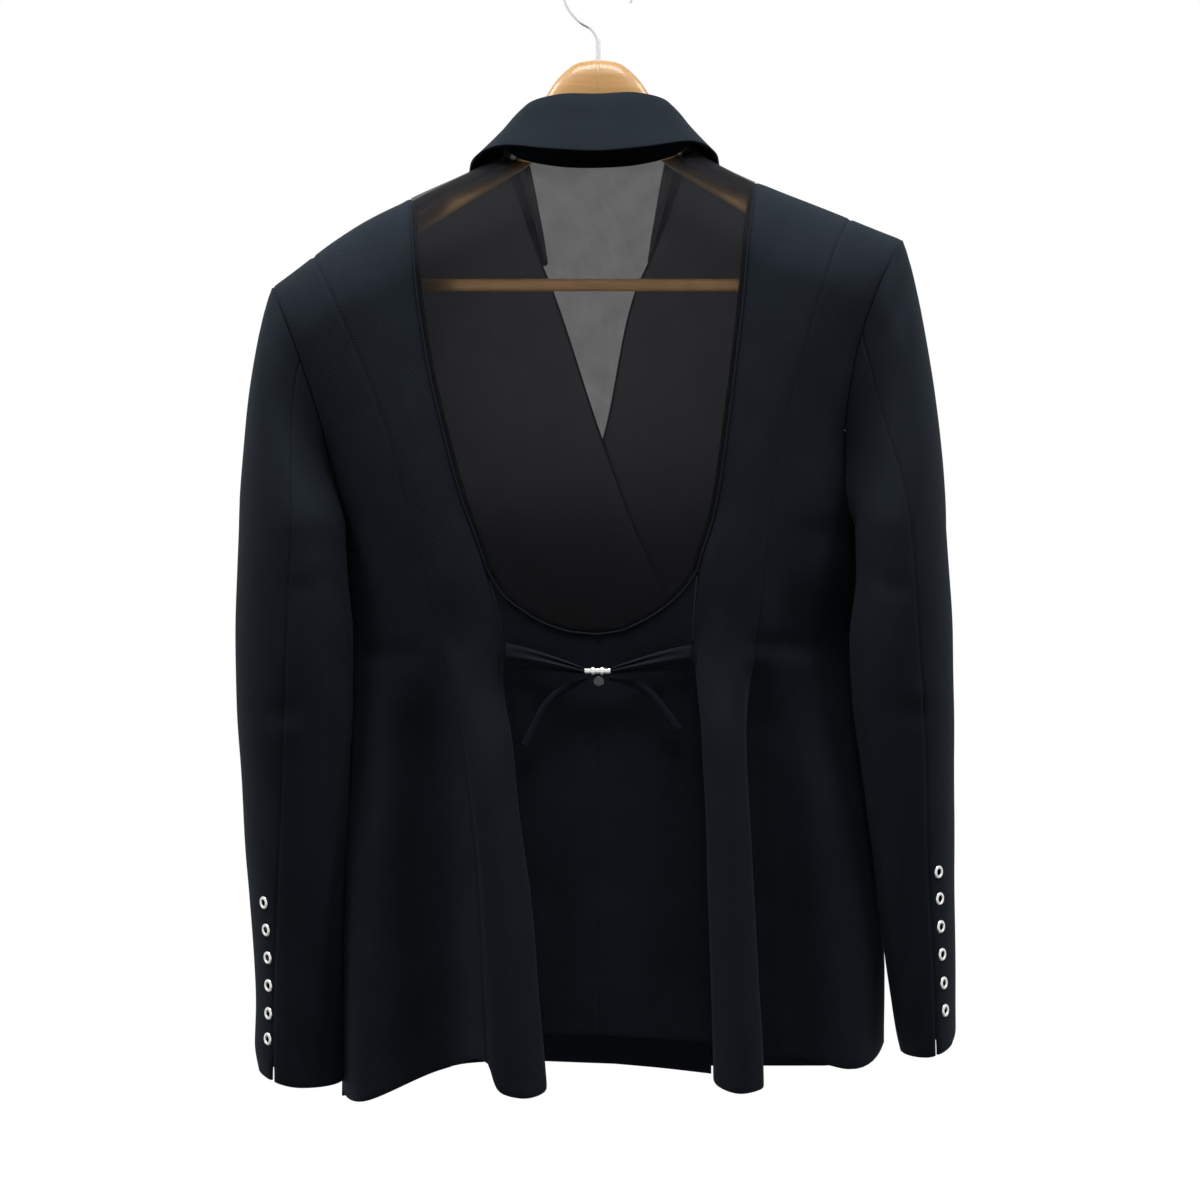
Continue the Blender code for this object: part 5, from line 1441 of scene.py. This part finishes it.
def area_light(name, place, target, size, power, color=(1.0, 1.0, 1.0)):
    light = bpy.data.lights.new(name, "AREA")
    light.shape = "RECTANGLE"
    light.size, light.size_y = size
    light.energy = power
    light.color = color
    lamp = bpy.data.objects.new(name, light)
    bpy.context.scene.collection.objects.link(lamp)
    lamp.location = place
    lamp.rotation_euler = (Vector(target) - Vector(place)).to_track_quat("-Z", "Y").to_euler()
    lamp.visible_camera = False


def build_studio():
    world = bpy.data.worlds.new("studio_white")
    world.use_nodes = True
    tree = world.node_tree
    soft = add(tree, "LightPath").outputs["Is Diffuse Ray"]
    tree.links.new(ramp(tree, soft, (BACKDROP_LIGHT,) * 3, (ROOM_LIGHT,) * 3), tree.nodes["Background"].inputs["Color"])
    bpy.context.scene.world = world
    bpy.context.scene.view_settings.view_transform = "Standard"
    area_light("key_light", (0.75, 0.27, 0.5), (0, 0, -0.1), (0.5, 0.35), KEY_POWER)
    area_light("side_light", (-0.75, 0.27, 0.5), (0, 0, -0.1), (0.5, 0.35), SIDE_POWER)
    area_light("top_light", (0, 0.42, 0.45), (0, 0, -0.2), (0.5, 0.2), TOP_POWER)
    area_light("front_light", (0.5, -2.0, 0.8), (0, 0, -0.4), (1.8, 1.6), FRONT_POWER)
    area_light("inner_light", (0, 0.015, -0.29), (0, -0.1, -0.29), (0.22, 0.22), INNER_POWER)
    floor = bpy.data.meshes.new("studio_floor")
    floor.from_pydata([(-1.5, -1.5, FLOOR_Z), (1.5, -1.5, FLOOR_Z), (1.5, 1.5, FLOOR_Z), (-1.5, 1.5, FLOOR_Z)], [], [(0, 1, 2, 3)])
    ground = bpy.data.objects.new("studio_floor", floor)
    bpy.context.scene.collection.objects.link(ground)
    pale = node_tree("studio_pale", (0.82, 0.82, 0.82), 0.9)[0]
    floor.materials.append(pale)
    view = bpy.data.cameras.new("photo_view")
    view.lens = CAMERA_LENS
    view.sensor_width = 36.0
    view.clip_start = 0.05
    camera = bpy.data.objects.new("photo_view", view)
    bpy.context.scene.collection.objects.link(camera)
    camera.location = (VIEW_X * MM, VIEW_DISTANCE * MM, VIEW_Z * MM)
    camera.rotation_euler = (math.pi / 2, 0, math.pi)
    bpy.context.scene.camera = camera


build_studio()
LOOK = {
    "suiting": suiting_look(),
    "mesh": mesh_look(),
    "lining": lining_look(),
    "eyelet": metal_look("eyelet_steel", (0.72, 0.72, 0.7), 0.2),
    "clasp": metal_look("clasp_steel", (0.72, 0.72, 0.7), 0.16),
    "hook": metal_look("hook_steel", (0.66, 0.66, 0.65), 0.22),
    "enamel": gloss_look("pendant_enamel", (0.01, 0.01, 0.012), 0.15),
    "button": gloss_look("button_plastic", (0.015, 0.018, 0.02), 0.32),
    "wood": wood_look("hanger_wood", 0.0),
}
LOOK["piping"] = LOOK["tie"] = LOOK["suiting"]
build_backs()
build_inset()
build_back_lower()
build_fronts()
for side in (LEFT, RIGHT):
    build_sleeve(side)
build_collar()
build_lapels()
build_button()
build_belt()
build_clasp()
build_hanger()
